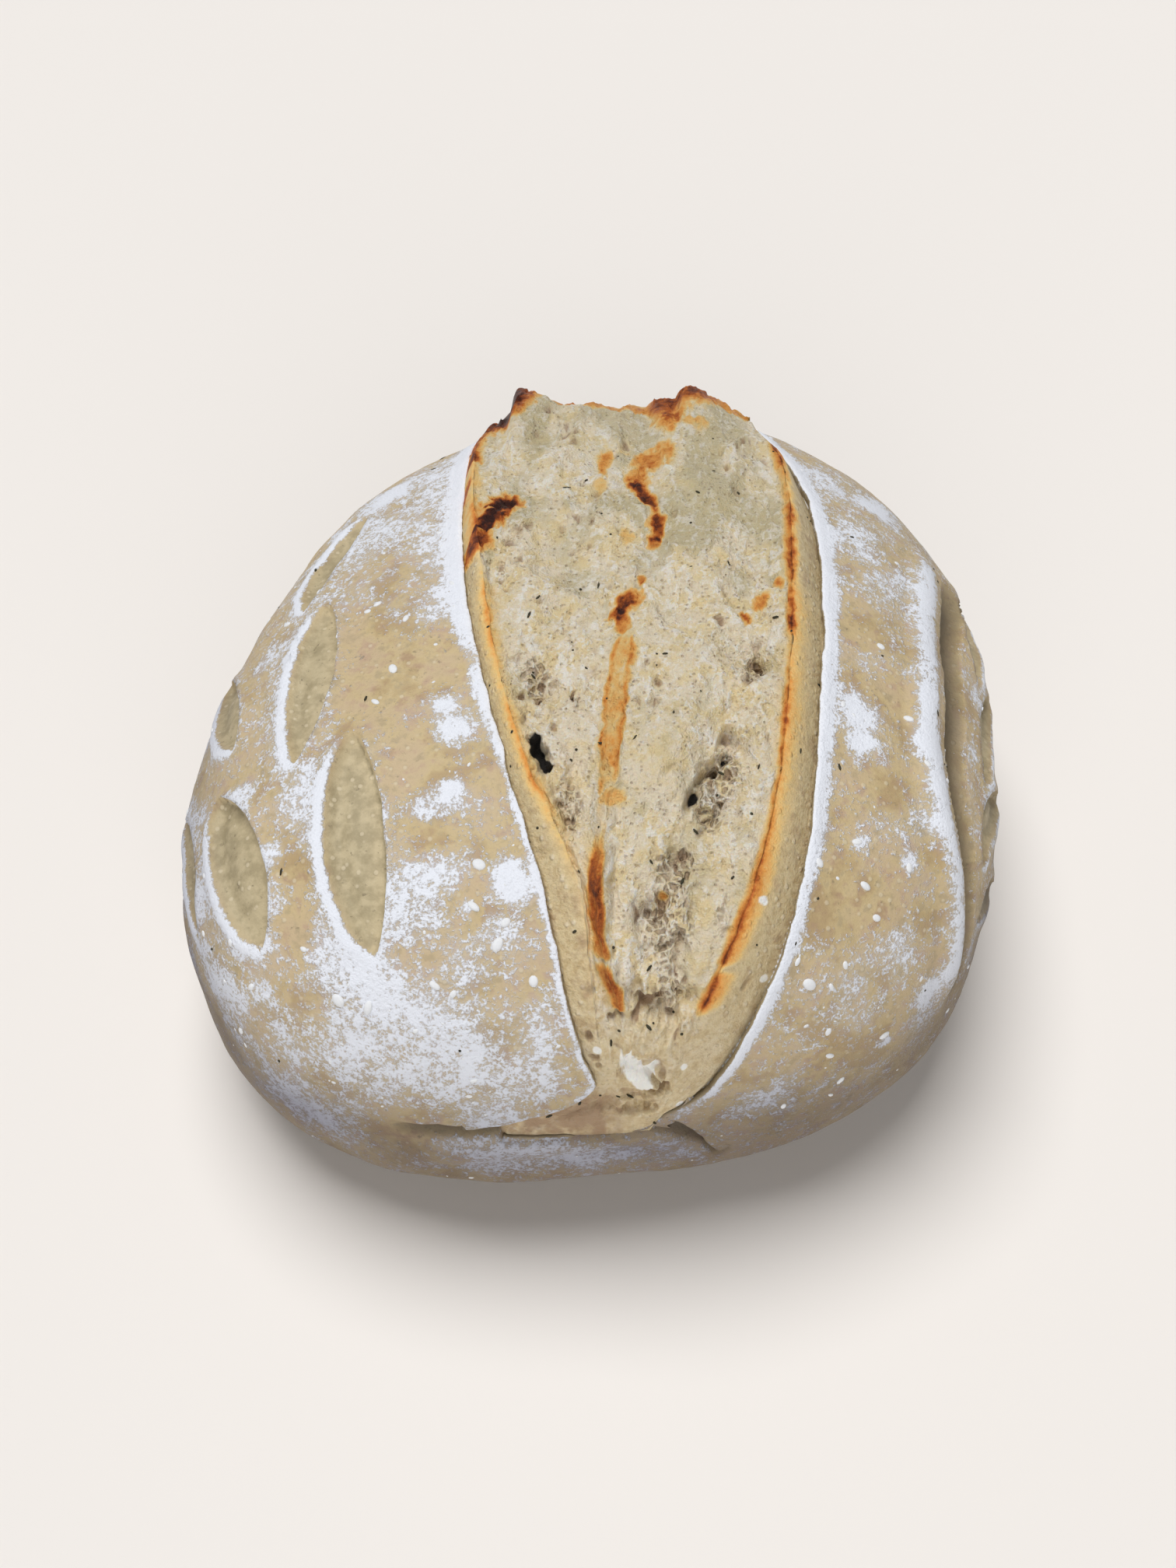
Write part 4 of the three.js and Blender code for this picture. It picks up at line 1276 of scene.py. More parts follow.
    def place(self, turn: Array, fall: Array) -> tuple[Array, dict]:
        """Gives each point of the ball its place on the slab.

        Args:
            turn: Share of the way round a cross-section.
            fall: Share of the way along the burst, from the front.

        Returns:
            Points in metres, and the values that the crumb's material reads.
        """
        form = self.form
        places, angles = zip(*self.row_places)
        degrees = np.interp(fall, places, angles)
        upper = turn < self.top_share
        share = np.where(upper, turn / self.top_share, 1 - (turn - self.top_share) / (1 - self.top_share))
        part = self.section(share, degrees)
        plain = form.on_burst(degrees, part["x"], np.zeros(len(turn)))
        along = degrees * math.pi / 180 * self.rolled
        drawn = np.stack([part["x"], along / self.stretch, np.zeros(len(turn))], axis=-1)
        laced = np.clip(self.spots(LACED_SPOTS, degrees, part["x"], 0.3 * swell(drawn, 4, 71), 1.5), 0, 1)
        tear = self.tearing(drawn, laced)
        fine, broad = tear["fine"], tear["broad"]
        crumb = part["crumb"] * ease(degrees, 12, 26)
        rims = np.minimum(np.abs(part["left"]), np.abs(part["right"]))
        inner = crumb * ease(rims, 0.2, 1.7)
        crisp = 0.5 * swell(drawn, 1.0, 75) + 0.35 * swell(drawn, 2.2, 76)
        hollow = self.spots(HOLLOWS, degrees, part["x"], 0.4 * fine + 0.2 * broad + 0.5 * crisp, 2.2)
        pores = self.spots(PORES, degrees, part["x"], 0.9 * crisp, 2.0)
        swells = self.spots(SWELLS, degrees, part["x"], 0.3 * broad, 1.2)
        calm = np.clip(self.spots(CALM_SPOTS, degrees, part["x"], 0.5 * broad + 0.3 * fine, 1.5), 0, 1)
        torn = mix(0.6, 1.0, ease(degrees, 24, 40)) * mix(1.0, 0.85, ease(degrees, 92, 128)) * inner
        folds = 2.2 * (1 - 2 * np.abs(swell(drawn + 2.0 * broad[:, None], 13, 78))) * inner
        torn = torn * mix(1.0, 0.45, calm)
        rims_line = part["crumb"] * (1 - ease(rims, 0.0, 1.4))
        crown = between(degrees, self.crown - 5, self.crown, self.crown, self.crown + 5)
        strip = 1 - part["crumb"]
        rise = part["rise"] + torn * tear["rise"] + (swells - 0.8 * hollow) * part["crumb"]
        rise = rise - 0.42 * pores + 0.7 * folds
        rise += part["crumb"] * ease(degrees, 5, 14) * (1 - inner) * 0.25 * fine
        lumps = between(degrees, 5, 10, 22, 32) * ease(rims, 0.0, 3.0) * part["crumb"]
        rise += lumps * (1.3 * broad + 0.6 * fine)
        rise += rims_line * 0.6 * swell(drawn, 2.3, 61) * ease(degrees, 20, 40)
        rise += crown * part["crumb"] * (0.7 * swell(plain, 4, 62) + 0.5 * swell(plain, 1.6, 63))
        waves = 0.22 * swell(plain, 5, 64) + 0.2 * rough(plain, 2, 65)
        rise += strip * waves * ease(part["rise"], -2.5, -1)
        ridge = np.exp(-((part["centre"] / 2.6) ** 4)) * between(degrees, 30, 34, 80, 90)
        rise += ridge * (1.1 + 0.8 * swell(plain, 3, 72) + 0.4 * swell(plain, 1.4, 77)) * part["crumb"]
        rise += form.unevenness(plain) * ease(part["rise"], -2.5, -1)
        x = part["x"] + torn * 0.55 * swell(drawn, 1.9, 66) + rims_line * 0.7 * swell(drawn, 3.1, 67)
        x = x + rims_line * 0.35 * swell(drawn, 1.2, 68)
        wander = torn * 0.4 * swell(drawn, 1.8, 69)
        bottom_x = mix(part["skin_r"] - part["inset"], part["skin_l"] + part["inset"], 1 - share)
        shallow = between(degrees, self.front, 20, self.crown - 4, self.back)
        x = np.where(upper, x, bottom_x)
        rise = np.where(upper, np.maximum(rise, 2.5 - self.depth), -mix(4.5, self.depth, shallow))
        points = form.on_burst(degrees + wander, x, rise)
        over = np.maximum(points[:, 2] - self.level_top, 0)
        points[:, 2] -= over - self.top_spread * np.tanh(over / self.top_spread)
        toast = self.toast(part, degrees, broad, 0.5 * fine + 0.25 * broad + 0.22 * swell(drawn, 0.9, 70))
        flour = self.spots(FLOURED_SPOTS, degrees, part["x"], 0.55 * fine + 0.3 * swell(drawn, 1.4, 73), 1.6)
        low = ease(-degrees, -34, -24)
        # Greyer glassy crumb over the upper, far part of the burst: partly its own glassy tone, partly
        # painted shade towards the back.
        glassy_and_top_shade = ease(rough(drawn, 11, 79) + 0.4 * broad + 0.15 * fine, -0.3, 0.4) * ease(degrees, 92, 118)
        # Painted shade: the foot's left and the lows of its lumps are darkened through pit.
        tail = ease(-degrees, -19, -12) * ease(-part["x"] - 5 * broad, -13, -2)
        tail = tail * np.clip(0.75 + 0.9 * fine + 0.6 * broad, 0.2, 1.25)
        tail = tail + 0.5 * lumps * ease(-fine, 0.0, 0.7)
        # pit is partly the pore walls' own taupe, partly painted shade in pits, hollows and pores.
        pit = inner * mix(tear["pit"], 0.3 * tear["pit"], calm) + 0.04 * hollow
        pit = pit + 0.17 * pores * (1 - 0.4 * laced) + tail
        # Painted shadow: near-black inside the deep holes and the deepest pores.
        hole_shadow = self.spots(HOLE_SHADOW_SPOTS, degrees, part["x"], crisp, 3) + 0.1 * np.clip(pores - 1.2, 0, 2.4)
        values = {
            "toast": toast,
            "skin": np.maximum(strip * (1 - 0.3 * low), 0.7 * low),
            "flour": flour,
            "pit": np.clip(pit, 0, 1),
            "hole_shadow": np.clip(hole_shadow, 0, 1),
            # tuft marks raised crumb, which the material lightens as a painted highlight.
            "tuft": np.clip(inner * tear["tuft"], 0, 1),
            "calm": calm * inner,
            "lace": laced * inner,
            "glassy": np.clip(inner * (0.5 * tear["glassy"] + glassy_and_top_shade), 0, 1),
        }
        return form.in_frame(points), values

    def build(self, material: Any) -> Any:
        """Makes the crumb."""
        return shaped_ball("burst_crumb", self.around, self.rows, self.place, material)


# ---- Toppings ----


# Caked drops of flour that stand alone, as (azimuth, elevation).
BLISTERS: Rows = (
    (50.5, 37.5), (46.9, 33.0), (32.4, 25.9), (33.3, 17.8), (31.8, 29.3), (26.9, 5.4), (42.2, 38.7),
    (38.2, 25.6), (-80.4, 57.2), (-70.7, 53.3), (-19.7, 29.6), (-20.1, 40.3), (-21.3, 45.2), (-14.5, 36.0),
    (-13.9, 39.4), (-22.2, 30.1), (41.5, 11.3), (-34.2, 23.9), (-30.0, 24.5), (35.2, 6.6), (45.7, 28.8),
)


# Herb needles in plain view on the crumb, as (angle up from the front, X).
NEEDLES: Rows = (
    (124.9, -6), (126.4, 40.6), (101.5, 2), (97.4, -13), (87.2, -4), (81, -1), (81.8, 16.9), (70.9, 20.7),
    (107.8, 36.5), (60.4, 31.9), (93, -14.5), (76, 26), (48, 14), (45.5, 22.5), (66, 12), (52, 26),
)


@dataclass
class Scatter:
    """Small things that lie on finished pieces."""

    form: LoafForm
    seed: int = 11
    drops: int = 240
    crumb_flecks: int = 60
    crust_flecks: int = 45
    needle_rise: float = 2.0  # mm above the plain crust, from where the nearest crumb is looked for

    def points_of(self, piece: Any) -> tuple[Array, Array]:
        """Reads a finished piece.

        Args:
            piece: The piece.

        Returns:
            Its points in metres, and the directions straight out of them.
        """
        count = len(piece.data.vertices)
        points, normals = np.empty(3 * count, np.float32), np.empty(3 * count, np.float32)
        piece.data.vertices.foreach_get("co", points)
        piece.data.vertex_normals.foreach_get("vector", normals)
        return points.reshape(-1, 3).astype(float), normals.reshape(-1, 3).astype(float)

    def attribute(self, piece: Any, key: str) -> Array:
        """Reads a named value of a finished piece.

        Args:
            piece: The piece.
            key: The value's name.

        Returns:
            The value at each of its points.
        """
        values = np.empty(len(piece.data.vertices), np.float32)
        piece.data.attributes[key].data.foreach_get("value", values)
        return values

    def nearest(self, points: Array, among: Array, places: Array) -> list[int]:
        """Finds the points nearest to some places.

        Args:
            points: A piece's points in metres.
            among: The numbers of those that may be chosen.
            places: Places in millimetres round the girth's middle.

        Returns:
            One number for each place.
        """
        wanted = places / METRE + self.form.middle() / METRE
        return [among[np.argmin(np.linalg.norm(points[among] - place, axis=1))] for place in wanted]

    def lay(
        self, name: str, spots: Array, normals: Array, sizes: Array, subdivisions: int, material: Any
    ) -> Any:
        """Lays flattened balls on spots, each turned its own way.

        Args:
            name: The piece's name.
            spots: Places in metres.
            normals: Directions straight out of the surface.
            sizes: Three half sizes in mm for each: long, wide, thick.
            subdivisions: Of the ball.
            material: The piece's finish.

        Returns:
            The new object.
        """
        chance = np.random.default_rng(self.seed)
        anyway = unit(chance.normal(size=(len(spots), 3)))
        long = unit(np.cross(normals, anyway))
        wide = np.cross(normals, long)
        axes = np.stack([long, wide, normals], axis=1) * (sizes / METRE)[..., None]
        piece = scattered(name, subdivisions, spots, axes)
        dress(piece, material)
        return piece

    def herbs(self, crumb: Any, crust: Any, material: Any) -> Any:
        """Scatters herb flecks, most on the crumb, and some of them at named places.

        Args:
            crumb: The finished crumb.
            crust: The finished crust.
            material: The flecks' finish.

        Returns:
            The piece.
        """
        chance = np.random.default_rng(self.seed + 1)
        points, normals = self.points_of(crumb)
        top = np.where((normals[:, 2] > 0.1) & (points[:, 1] < 0.07))[0]
        rise = np.full(len(NEEDLES), self.needle_rise)
        chosen = self.nearest(points, top, self.form.on_burst(*np.array(NEEDLES).T, rise))
        chosen += list(chance.choice(top, self.crumb_flecks, replace=False))
        crust_points, crust_normals = self.points_of(crust)
        shown = np.where((crust_points[:, 2] > 0.02) & (crust_normals[:, 2] > 0.1))[0]
        picked = chance.choice(shown, self.crust_flecks, replace=False)
        spots = np.concatenate([points[chosen], crust_points[picked]])
        out = np.concatenate([normals[chosen], crust_normals[picked]])
        count = len(spots)
        long = 0.3 + 0.9 * chance.random(count) ** 1.5
        long[: len(NEEDLES)] = chance.uniform(0.9, 1.5, len(NEEDLES))
        sizes = np.stack([long, 0.32 + 0.12 * chance.random(count), np.full(count, 0.22)], axis=-1)
        return self.lay("herb_flecks", spots, out, sizes, 1, material)

    def flour_drops(self, crust: Any, material: Any) -> Any:
        """Scatters small caked drops of flour over the crust.

        Args:
            crust: The finished crust.
            material: The drops' finish.

        Returns:
            The piece.
        """
        chance = np.random.default_rng(self.seed + 2)
        points, normals = self.points_of(crust)
        shown = np.where((points[:, 2] > 0.012) & (self.attribute(crust, "floor") < 0.1))[0]
        weight = np.clip(self.attribute(crust, "flour")[shown] + 0.2, 0.05, 1)
        picked = chance.choice(shown, self.drops, replace=False, p=weight / weight.sum())
        named = self.nearest(points, shown, self.form.on_crust(heading(*np.array(BLISTERS).T)))
        picked = np.concatenate([named, picked])
        long = 0.35 + 1.1 * chance.random(len(picked)) ** 3
        long[: len(named)] = chance.uniform(1.0, 2.0, len(named))
        sizes = np.stack([long, long * chance.uniform(0.5, 0.8, len(picked)), 0.28 * long], axis=-1)
        return self.lay("flour_drops", points[picked], normals[picked], sizes, 2, material)


# ---- Materials ----


def linear(code: str) -> tuple[float, float, float, float]:
    """Turns a colour's sRGB hex code to linear.

    Args:
        code: The code, such as #FFFFFF.

    Returns:
        Red, green, blue and a full alpha for a shader.
    """
    parts = [int(code[i : i + 2], 16) / 255 for i in (1, 3, 5)]
    red, green, blue = (p / 12.92 if p <= 0.04045 else ((p + 0.055) / 1.055) ** 2.4 for p in parts)
    return red, green, blue, 1.0


def per_mm(size: float) -> float:
    """The texture scale at which a pattern's features stand this many millimetres apart."""
    return METRE / size


class Node(Enum):
    """The kinds of shader node that the finishes are made of."""

    ATTRIBUTE = "ShaderNodeAttribute"
    BUMP = "ShaderNodeBump"
    CELLS = "ShaderNodeTexVoronoi"
    MATH = "ShaderNodeMath"
    MIX = "ShaderNodeMix"
    NOISE = "ShaderNodeTexNoise"
    PLACE = "ShaderNodeTexCoord"
    RAMP = "ShaderNodeValToRGB"
    RANGE = "ShaderNodeMapRange"
    VECTOR = "ShaderNodeVectorMath"


class Blend(Enum):
    """How one colour is laid over another."""

    OVER = "MIX"
    SHADE = "MULTIPLY"


SMOOTH = {"interpolation_type": "SMOOTHSTEP"}
PRODUCT = {"operation": "MULTIPLY"}
COLOURS = {"data_type": "RGBA"}
GRAIN_ROUGHNESS = 0.62  # how strongly an uneven field breaks up into finer ones


class Surface:
    """A material while its nodes are added."""

    def __init__(self, name: str) -> None:
        """Starts the material, with its main shader.

        Args:
            name: The material's name.
        """
        self.material = bpy.data.materials.new(name)
        self.material.use_nodes = True
        self.tree = self.material.node_tree
        self.shader = self.tree.nodes["Principled BSDF"]

    def feed(self, node: Any, inputs: dict[str | int, Any]) -> None:
        """Sets a node's inputs.

        Args:
            node: The node.
            inputs: Values, or other nodes' sockets to link, by the input's name or number.
        """
        for key, value in inputs.items():
            if isinstance(value, bpy.types.NodeSocket):
                self.tree.links.new(value, node.inputs[key])
            else:
                node.inputs[key].default_value = value

    def add(self, kind: Node, inputs: dict | tuple = (), output: str | int = 0, **settings: Any) -> Any:
        """Adds a node.

        Args:
            kind: Its kind.
            inputs: Values or other nodes' sockets, in order or by the input's name or number.
            output: The output that is wanted.
            settings: Its own properties.

        Returns:
            The output's socket.
        """
        node = self.tree.nodes.new(kind.value)
        for key, value in settings.items():
            setattr(node, key, value)
        self.feed(node, inputs if isinstance(inputs, dict) else dict(enumerate(inputs)))
        return node.outputs[output]

    def carried(self, *keys: str) -> list[Any]:
        """The named values that a piece's points carry."""
        return [self.add(Node.ATTRIBUTE, output="Fac", attribute_name=key) for key in keys]

    def fields(self, at: Any, *grains: tuple[float, float, float]) -> list[Any]:
        """Adds uneven fields from 0 to 1.

        Args:
            at: The patterns' coordinates.
            grains: For each the mm between its features, how many finer layers it has, and their roughness.

        Returns:
            The fields' sockets.
        """
        names = ("Scale", "Detail", "Roughness")
        rows = [dict(zip(names, (per_mm(size), detail, roughness))) for size, detail, roughness in grains]
        return [self.add(Node.NOISE, {"Vector": at, **row}) for row in rows]

    def beads(self, at: Any, size: float, edge: tuple[float, float], some: tuple[float, float]) -> Any:
        """Adds round spots that stand in some of a pattern's cells.

        Args:
            at: The pattern's coordinates.
            size: The mm between cells.
            edge: The distances from a cell's middle, as shares of its size, where a spot begins and is full.
            some: The cells' random values from which spots begin to show and show fully.

        Returns:
            The socket, 1 in the spots.
        """
        distance = self.add(Node.CELLS, {"Vector": at, "Scale": per_mm(size)}, "Distance", feature="F1")
        chance = distance.node.outputs["Color"]
        spans = ((distance, edge), (chance, some))
        parts = [self.add(Node.RANGE, (value, *span), **SMOOTH) for value, span in spans]
        return self.add(Node.MATH, tuple(parts), **PRODUCT)

    def sum_of(self, start: Any, *terms: tuple[Any, float]) -> Any:
        """Adds weighted fields to a starting value.

        Args:
            start: The first value.
            terms: Fields with their weights.

        Returns:
            The socket with the sum.
        """
        for value, weight in terms:
            start = self.add(Node.MATH, (value, weight, start), operation="MULTIPLY_ADD")
        return start

    def layered(self, ground: Any, *layers: tuple[Any, float, float, float, str]) -> Any:
        """Lays colours one over another.

        Args:
            ground: The lowest colour.
            layers: For each the field that it follows, the field's values where it begins and where it is
                fullest, how much of it shows there, and its sRGB code.

        Returns:
            The socket with the colour that results.
        """
        for value, begins, fullest, amount, code in layers:
            share = self.add(Node.RANGE, (value, begins, fullest, 0.0, amount), **SMOOTH)
            ground = self.add(Node.MIX, {0: share, 6: ground, 7: linear(code)}, 2, **COLOURS)
        return ground

    def finish(self, relief: Any, strength: float, depth: float, inputs: dict[str, Any]) -> Any:
        """Gives the shader its inputs and relief.

        Args:
            relief: The relief's height.
            strength: Of the relief.
            depth: Of the relief, in mm.
            inputs: The shader's other inputs.

        Returns:
            The material.
        """
        bump = self.add(Node.BUMP, {"Strength": strength, "Distance": depth / METRE, "Height": relief})
        self.feed(self.shader, {**inputs, "Normal": bump})
        return self.material


@dataclass(frozen=True)
class FlouredCrust:
    """Baked sourdough skin, dusted with rice flour before baking: a matt tan skin with pale blisters, under
    flour that lies as soft clouds, breaks up into grains at their edges and is whitest on curled edges."""

    name: str = "floured sourdough crust"
    tan: str = "#C8B28F"
    straw: str = "#CBB687"
    rosy: str = "#BDA088"
    olive: str = "#AE9D7E"
    baked: str = "#A88C6A"
    blister_tone: str = "#D8CAAC"
    # Random dark specks, and also the painted shade in the valley, the tears and the lips' inner walls.
    low: str = "#6C604D"
    painted_shade_tint: str = "#A3A1A9"  # darkens low down and towards the left edge: partly a browner base, mostly painted shade
    cut_light: str = "#C2B391"
    cut_dark: str = "#A89A7A"
    flour: str = "#EBEEF6"
    veil: str = "#CDCACA"
    cloud: float = 8.0  # mm between clumps of flour
    clump: float = 1.7
    dusting: float = 5.0  # mm between sprinkled clusters, which break up into ever finer grains
    grain: float = 0.65  # coarser than real grains, so that they show
    blotch: float = 13.0
    mottle: float = 4.0
    blister: float = 2.4  # mm between the skin's small blisters
    relief: float = 0.5  # mm, at a relief of 1
    skin_roughness: float = 0.6
    flour_roughness: float = 0.95

    def skin(self, surface: Surface, at: Any, floor: Any, brown: Any, spots: Any) -> Any:
        """Colours the bare skin.

        Args:
            surface: The material.
            at: The pattern's coordinates.
            floor: How far a point lies in an opened cut.
            brown: Where the valley, the tears and the lips' inner walls darken: browner crust and painted
                shade.
            spots: Where small blisters stand.

        Returns:
            The socket with the colour.
        """
        sizes = (self.blotch, self.mottle, self.clump)
        blotch, mottle, speck = surface.fields(at, *((size, 3.0, GRAIN_ROUGHNESS) for size in sizes))
        colour = surface.layered(
            linear(self.tan),
            (blotch, 0.35, 0.62, 1.0, self.straw),
            (mottle, 0.5, 0.68, 0.75, self.rosy),
            (mottle, 0.46, 0.3, 0.65, self.olive),
            (surface.sum_of(blotch, (mottle, 0.4)), 0.68, 0.84, 0.6, self.baked),
            (speck, 0.6, 0.72, 0.5, self.low),
        )
        cut = surface.layered(
            linear(self.cut_light),
            (mottle, 0.35, 0.65, 1.0, self.cut_dark),
            (speck, 0.62, 0.74, 0.6, self.low),
        )
        # The last layer, over brown, is partly painted shade in the valley, the tears and the lips' inner
        # walls.
        for share, over in ((floor, cut), (spots, linear(self.blister_tone)), (brown, linear(self.low))):
            colour = surface.add(Node.MIX, {0: share, 6: colour, 7: over}, 2, **COLOURS)
        return colour

    def build(self) -> Any:
        """Makes the material.

        Returns:
            The material.
        """
        surface = Surface(self.name)
        at = surface.add(Node.PLACE, output="Object")
        flour, floor, brown, base = surface.carried("flour", "floor", "brown", "base")
        spots = surface.beads(at, self.blister, (0.34, 0.14), (0.45, 0.6))
        pale_spots = surface.add(Node.RANGE, (spots, 0.0, 1.0, 0.0, 0.6), **SMOOTH)
        skin = self.skin(surface, at, floor, brown, pale_spots)
        cloud, clump, grain, dusting = surface.fields(
            at, (self.cloud, 6.0, GRAIN_ROUGHNESS), (self.clump, 4.0, GRAIN_ROUGHNESS),
            (self.grain, 2.0, GRAIN_ROUGHNESS), (self.dusting, 6.0, 0.75),
        )
        lying = surface.sum_of(flour, (cloud, 1.2))
        sprinkled = surface.sum_of(0.0, (lying, 1.15), (dusting, 1.6), (clump, 2.4), (grain, 2.2))
        broken = surface.add(Node.RANGE, (sprinkled, 4.1, 4.75), **SMOOTH)
        haze = surface.sum_of(lying, (clump, 0.3))
        veil = surface.add(Node.RANGE, (haze, 0.75, 1.75, 0.0, 0.6), **SMOOTH)
        colour = skin
        coats = (
            (veil, self.veil, Blend.OVER),
            (broken, self.flour, Blend.OVER),
            # Painted shade: multiplies skin and flour darker low down and towards the left edge.
            (base, self.painted_shade_tint, Blend.SHADE),
        )
        for share, code, blend in coats:
            inputs = {0: share, 6: colour, 7: linear(code)}
            colour = surface.add(Node.MIX, inputs, 2, **COLOURS, blend_type=blend.value)
        rough_span = (veil, 0.0, 0.6, self.skin_roughness, self.flour_roughness)
        powder = surface.add(Node.MATH, (grain, broken), **PRODUCT)
        relief = surface.sum_of(clump, (powder, 0.9), (broken, 0.5), (spots, 0.45), (grain, 0.25))
        return surface.finish(relief, 0.6, self.relief, {
            "Base Color": colour,
            "Roughness": surface.add(Node.RANGE, rough_span, **SMOOTH),
            "Specular IOR Level": 0.35,
        })


@dataclass(frozen=True)
class TornCrumb:
    """Torn open sourdough crumb: a soft cream sponge of pale strands with greyish glassy pore walls, with
    painted shade in its holes and a painted highlight on raised tufts, that turns golden, brown and then
    black where it stood up to the oven's heat."""

    name: str = "torn sourdough crumb"
    cream: str = "#EFE1C6"
    yellow: str = "#EDD8A8"
    ivory: str = "#FAF4EA"
    glassy: str = "#CBBE98"
    shade: str = "#D6BF9A"
    # Partly the pores' own taupe, partly painted shade in pits, pinholes and at the foot.
    hole: str = "#A5866A"
    lace_floor: str = "#AC9377"
    deep: str = "#15100B"  # painted shadow inside the few holes that reach far into the loaf
    strip: str = "#DAC79E"
    strip_shade: str = "#C8B084"
    toasts: tuple[tuple[float, str], ...] = (
        (0.0, "#EBDAB0"), (0.2, "#F0CB84"), (0.4, "#EBA450"), (0.6, "#BF6420"), (0.8, "#733212"),
        (1.0, "#38150B"),
    )
    flour: str = "#FFFCF4"
    tuft: float = 6.0
    strand: float = 1.7
    fibre: float = 0.6  # coarser than real fibres, so that they show
    pore: float = 1.1
    bead: float = 2.2  # mm between the pale bubbles of the smooth strips
    cell: float = 2.3  # mm across the cells of the lace
    bend: float = 2.2  # mm that the lace's walls wander
    bend_size: float = 2.6  # mm between their bends
    glow: float = 1.3  # mm that light travels inside the sponge
    relief: float = 0.9  # mm, at a relief of 1

    def toasted(self, surface: Surface, toast: Any) -> Any:
        """Adds the colours that the crumb browns through.

        Args:
            surface: The material.
            toast: How far it is browned.

        Returns:
            The socket with the colour.
        """
        colour = surface.add(Node.RAMP, (toast,))
        ramp = colour.node.color_ramp
        while len(ramp.elements) < len(self.toasts):
            ramp.elements.new(0.5)
        for element, (place, code) in zip(ramp.elements, self.toasts):
            element.position = place
            element.color = linear(code)
        return colour

    def lace(self, surface: Surface, at: Any, lace: Any, strand: Any) -> Any:
        """Adds the open cells of the lace, between walls that wander.

        Args:
            surface: The material.
            at: The pattern's coordinates.
            lace: Where the crumb tore into lace.
            strand: The crumb's unevenness.

        Returns:
            The socket, 1 in the cells.
        """
        bends = surface.add(Node.NOISE, {"Vector": at, "Scale": per_mm(self.bend_size)}, "Color")
        bent = surface.add(Node.VECTOR, (bends, (self.bend / METRE,) * 3, at), operation="MULTIPLY_ADD")
        inputs = {"Vector": bent, "Scale": per_mm(self.cell)}
        walls = surface.add(Node.CELLS, inputs, "Distance", feature="DISTANCE_TO_EDGE")
        cells = surface.add(Node.RANGE, (walls, 0.05, 0.3), **SMOOTH)
        shown = surface.add(Node.RANGE, (surface.sum_of(lace, (strand, 0.7)), 0.55, 1.15), **SMOOTH)
        return surface.add(Node.MATH, (cells, shown), **PRODUCT)

    def build(self) -> Any:
        """Makes the material.

        Returns:
            The material.
        """
        surface = Surface(self.name)
        at = surface.add(Node.PLACE, output="Object")
        keys = ("toast", "skin", "pit", "flour", "tuft", "glassy", "hole_shadow", "calm", "lace")
        toast, skin, pit, flour, raised, glassy, hole_shadow, calm, lace = surface.carried(*keys)
        sizes = (self.tuft, self.strand, self.fibre)
        tuft, strand, fibre = surface.fields(at, *((size, 4.0, GRAIN_ROUGHNESS) for size in sizes))
        # raised lightens the tops of tufts towards ivory, a painted highlight, among the strands' and fibres'
        # own paler tones.
        pale = surface.sum_of(strand, (raised, 0.26), (fibre, 0.6))
        sharp = surface.add(Node.RANGE, (calm, 0.0, 1.0, 1.0, 0.3), **SMOOTH)
        bright, dull = (
            surface.add(Node.MATH, (surface.add(Node.RANGE, (pale, *span), **SMOOTH), sharp), **PRODUCT)
            for span in ((0.78, 1.08), (0.8, 0.6))
        )
        colour = surface.layered(
            linear(self.cream),
            (tuft, 0.42, 0.62, 1.0, self.yellow),
            (glassy, 0.0, 1.0, 0.7, self.glassy),
            (bright, 0.0, 1.0, 0.8, self.ivory),
            (dull, 0.0, 1.0, 0.5, self.shade),
            (glassy, 0.0, 1.0, 0.35, self.glassy),
        )
        beads = surface.beads(at, self.bead, (0.4, 0.16), (0.5, 0.62))
        strips = surface.layered(
            linear(self.strip_shade),
            (strand, 0.3, 0.6, 1.0, self.strip),
            (beads, 0.0, 1.0, 0.5, self.cream),
            (tuft, 0.5, 0.7, 0.6, self.hole),
        )
        colour = surface.add(Node.MIX, {0: skin, 6: colour, 7: strips}, 2, **COLOURS)
        cells = self.lace(surface, at, lace, strand)
        colour = surface.layered(
            # Painted shade: the hole colour in pits and the lace_floor colour in the lace's open cells.
            colour, (pit, 0.0, 1.0, 0.85, self.hole), (cells, 0.0, 1.0, 0.75, self.lace_floor),
        )
        # Pinholes: dark dots as painted shade in tiny pores.
        pinholes = surface.beads(at, self.pore, (0.42, 0.16), (0.58, 0.75))
        shy = surface.add(Node.RANGE, (skin, 0.0, 1.0, 0.45, 0.2), **SMOOTH)
        pinholes = surface.add(Node.MATH, (pinholes, shy), **PRODUCT)
        colour = surface.add(Node.MIX, {0: pinholes, 6: colour, 7: linear(self.hole)}, 2, **COLOURS)
        uneven = surface.add(Node.MATH, (strand, 0.5), operation="SUBTRACT")
        uneven = surface.add(Node.MATH, (uneven, toast), **PRODUCT)
        toast = surface.sum_of(toast, (uneven, 1.1))
        browned = surface.add(Node.RANGE, (toast, 0.04, 0.26), **SMOOTH)
        colour = surface.add(Node.MIX, {0: browned, 6: colour, 7: self.toasted(surface, toast)}, 2, **COLOURS)
        colour = surface.layered(
            # The last layer is the painted shadow inside deep holes.
            colour, (flour, 0.3, 0.75, 1.0, self.flour), (hole_shadow, 0.12, 0.6, 1.0, self.deep),
        )
        relief = surface.sum_of(strand, (fibre, 1.1), (pinholes, -1.2), (cells, -1.3), (tuft, 1.2))
        softened = surface.add(Node.RANGE, (skin, 0.0, 1.0, 1.0, 0.4), **SMOOTH)
        relief = surface.add(Node.MATH, (relief, softened), **PRODUCT)
        relief = surface.sum_of(relief, (beads, 0.35))
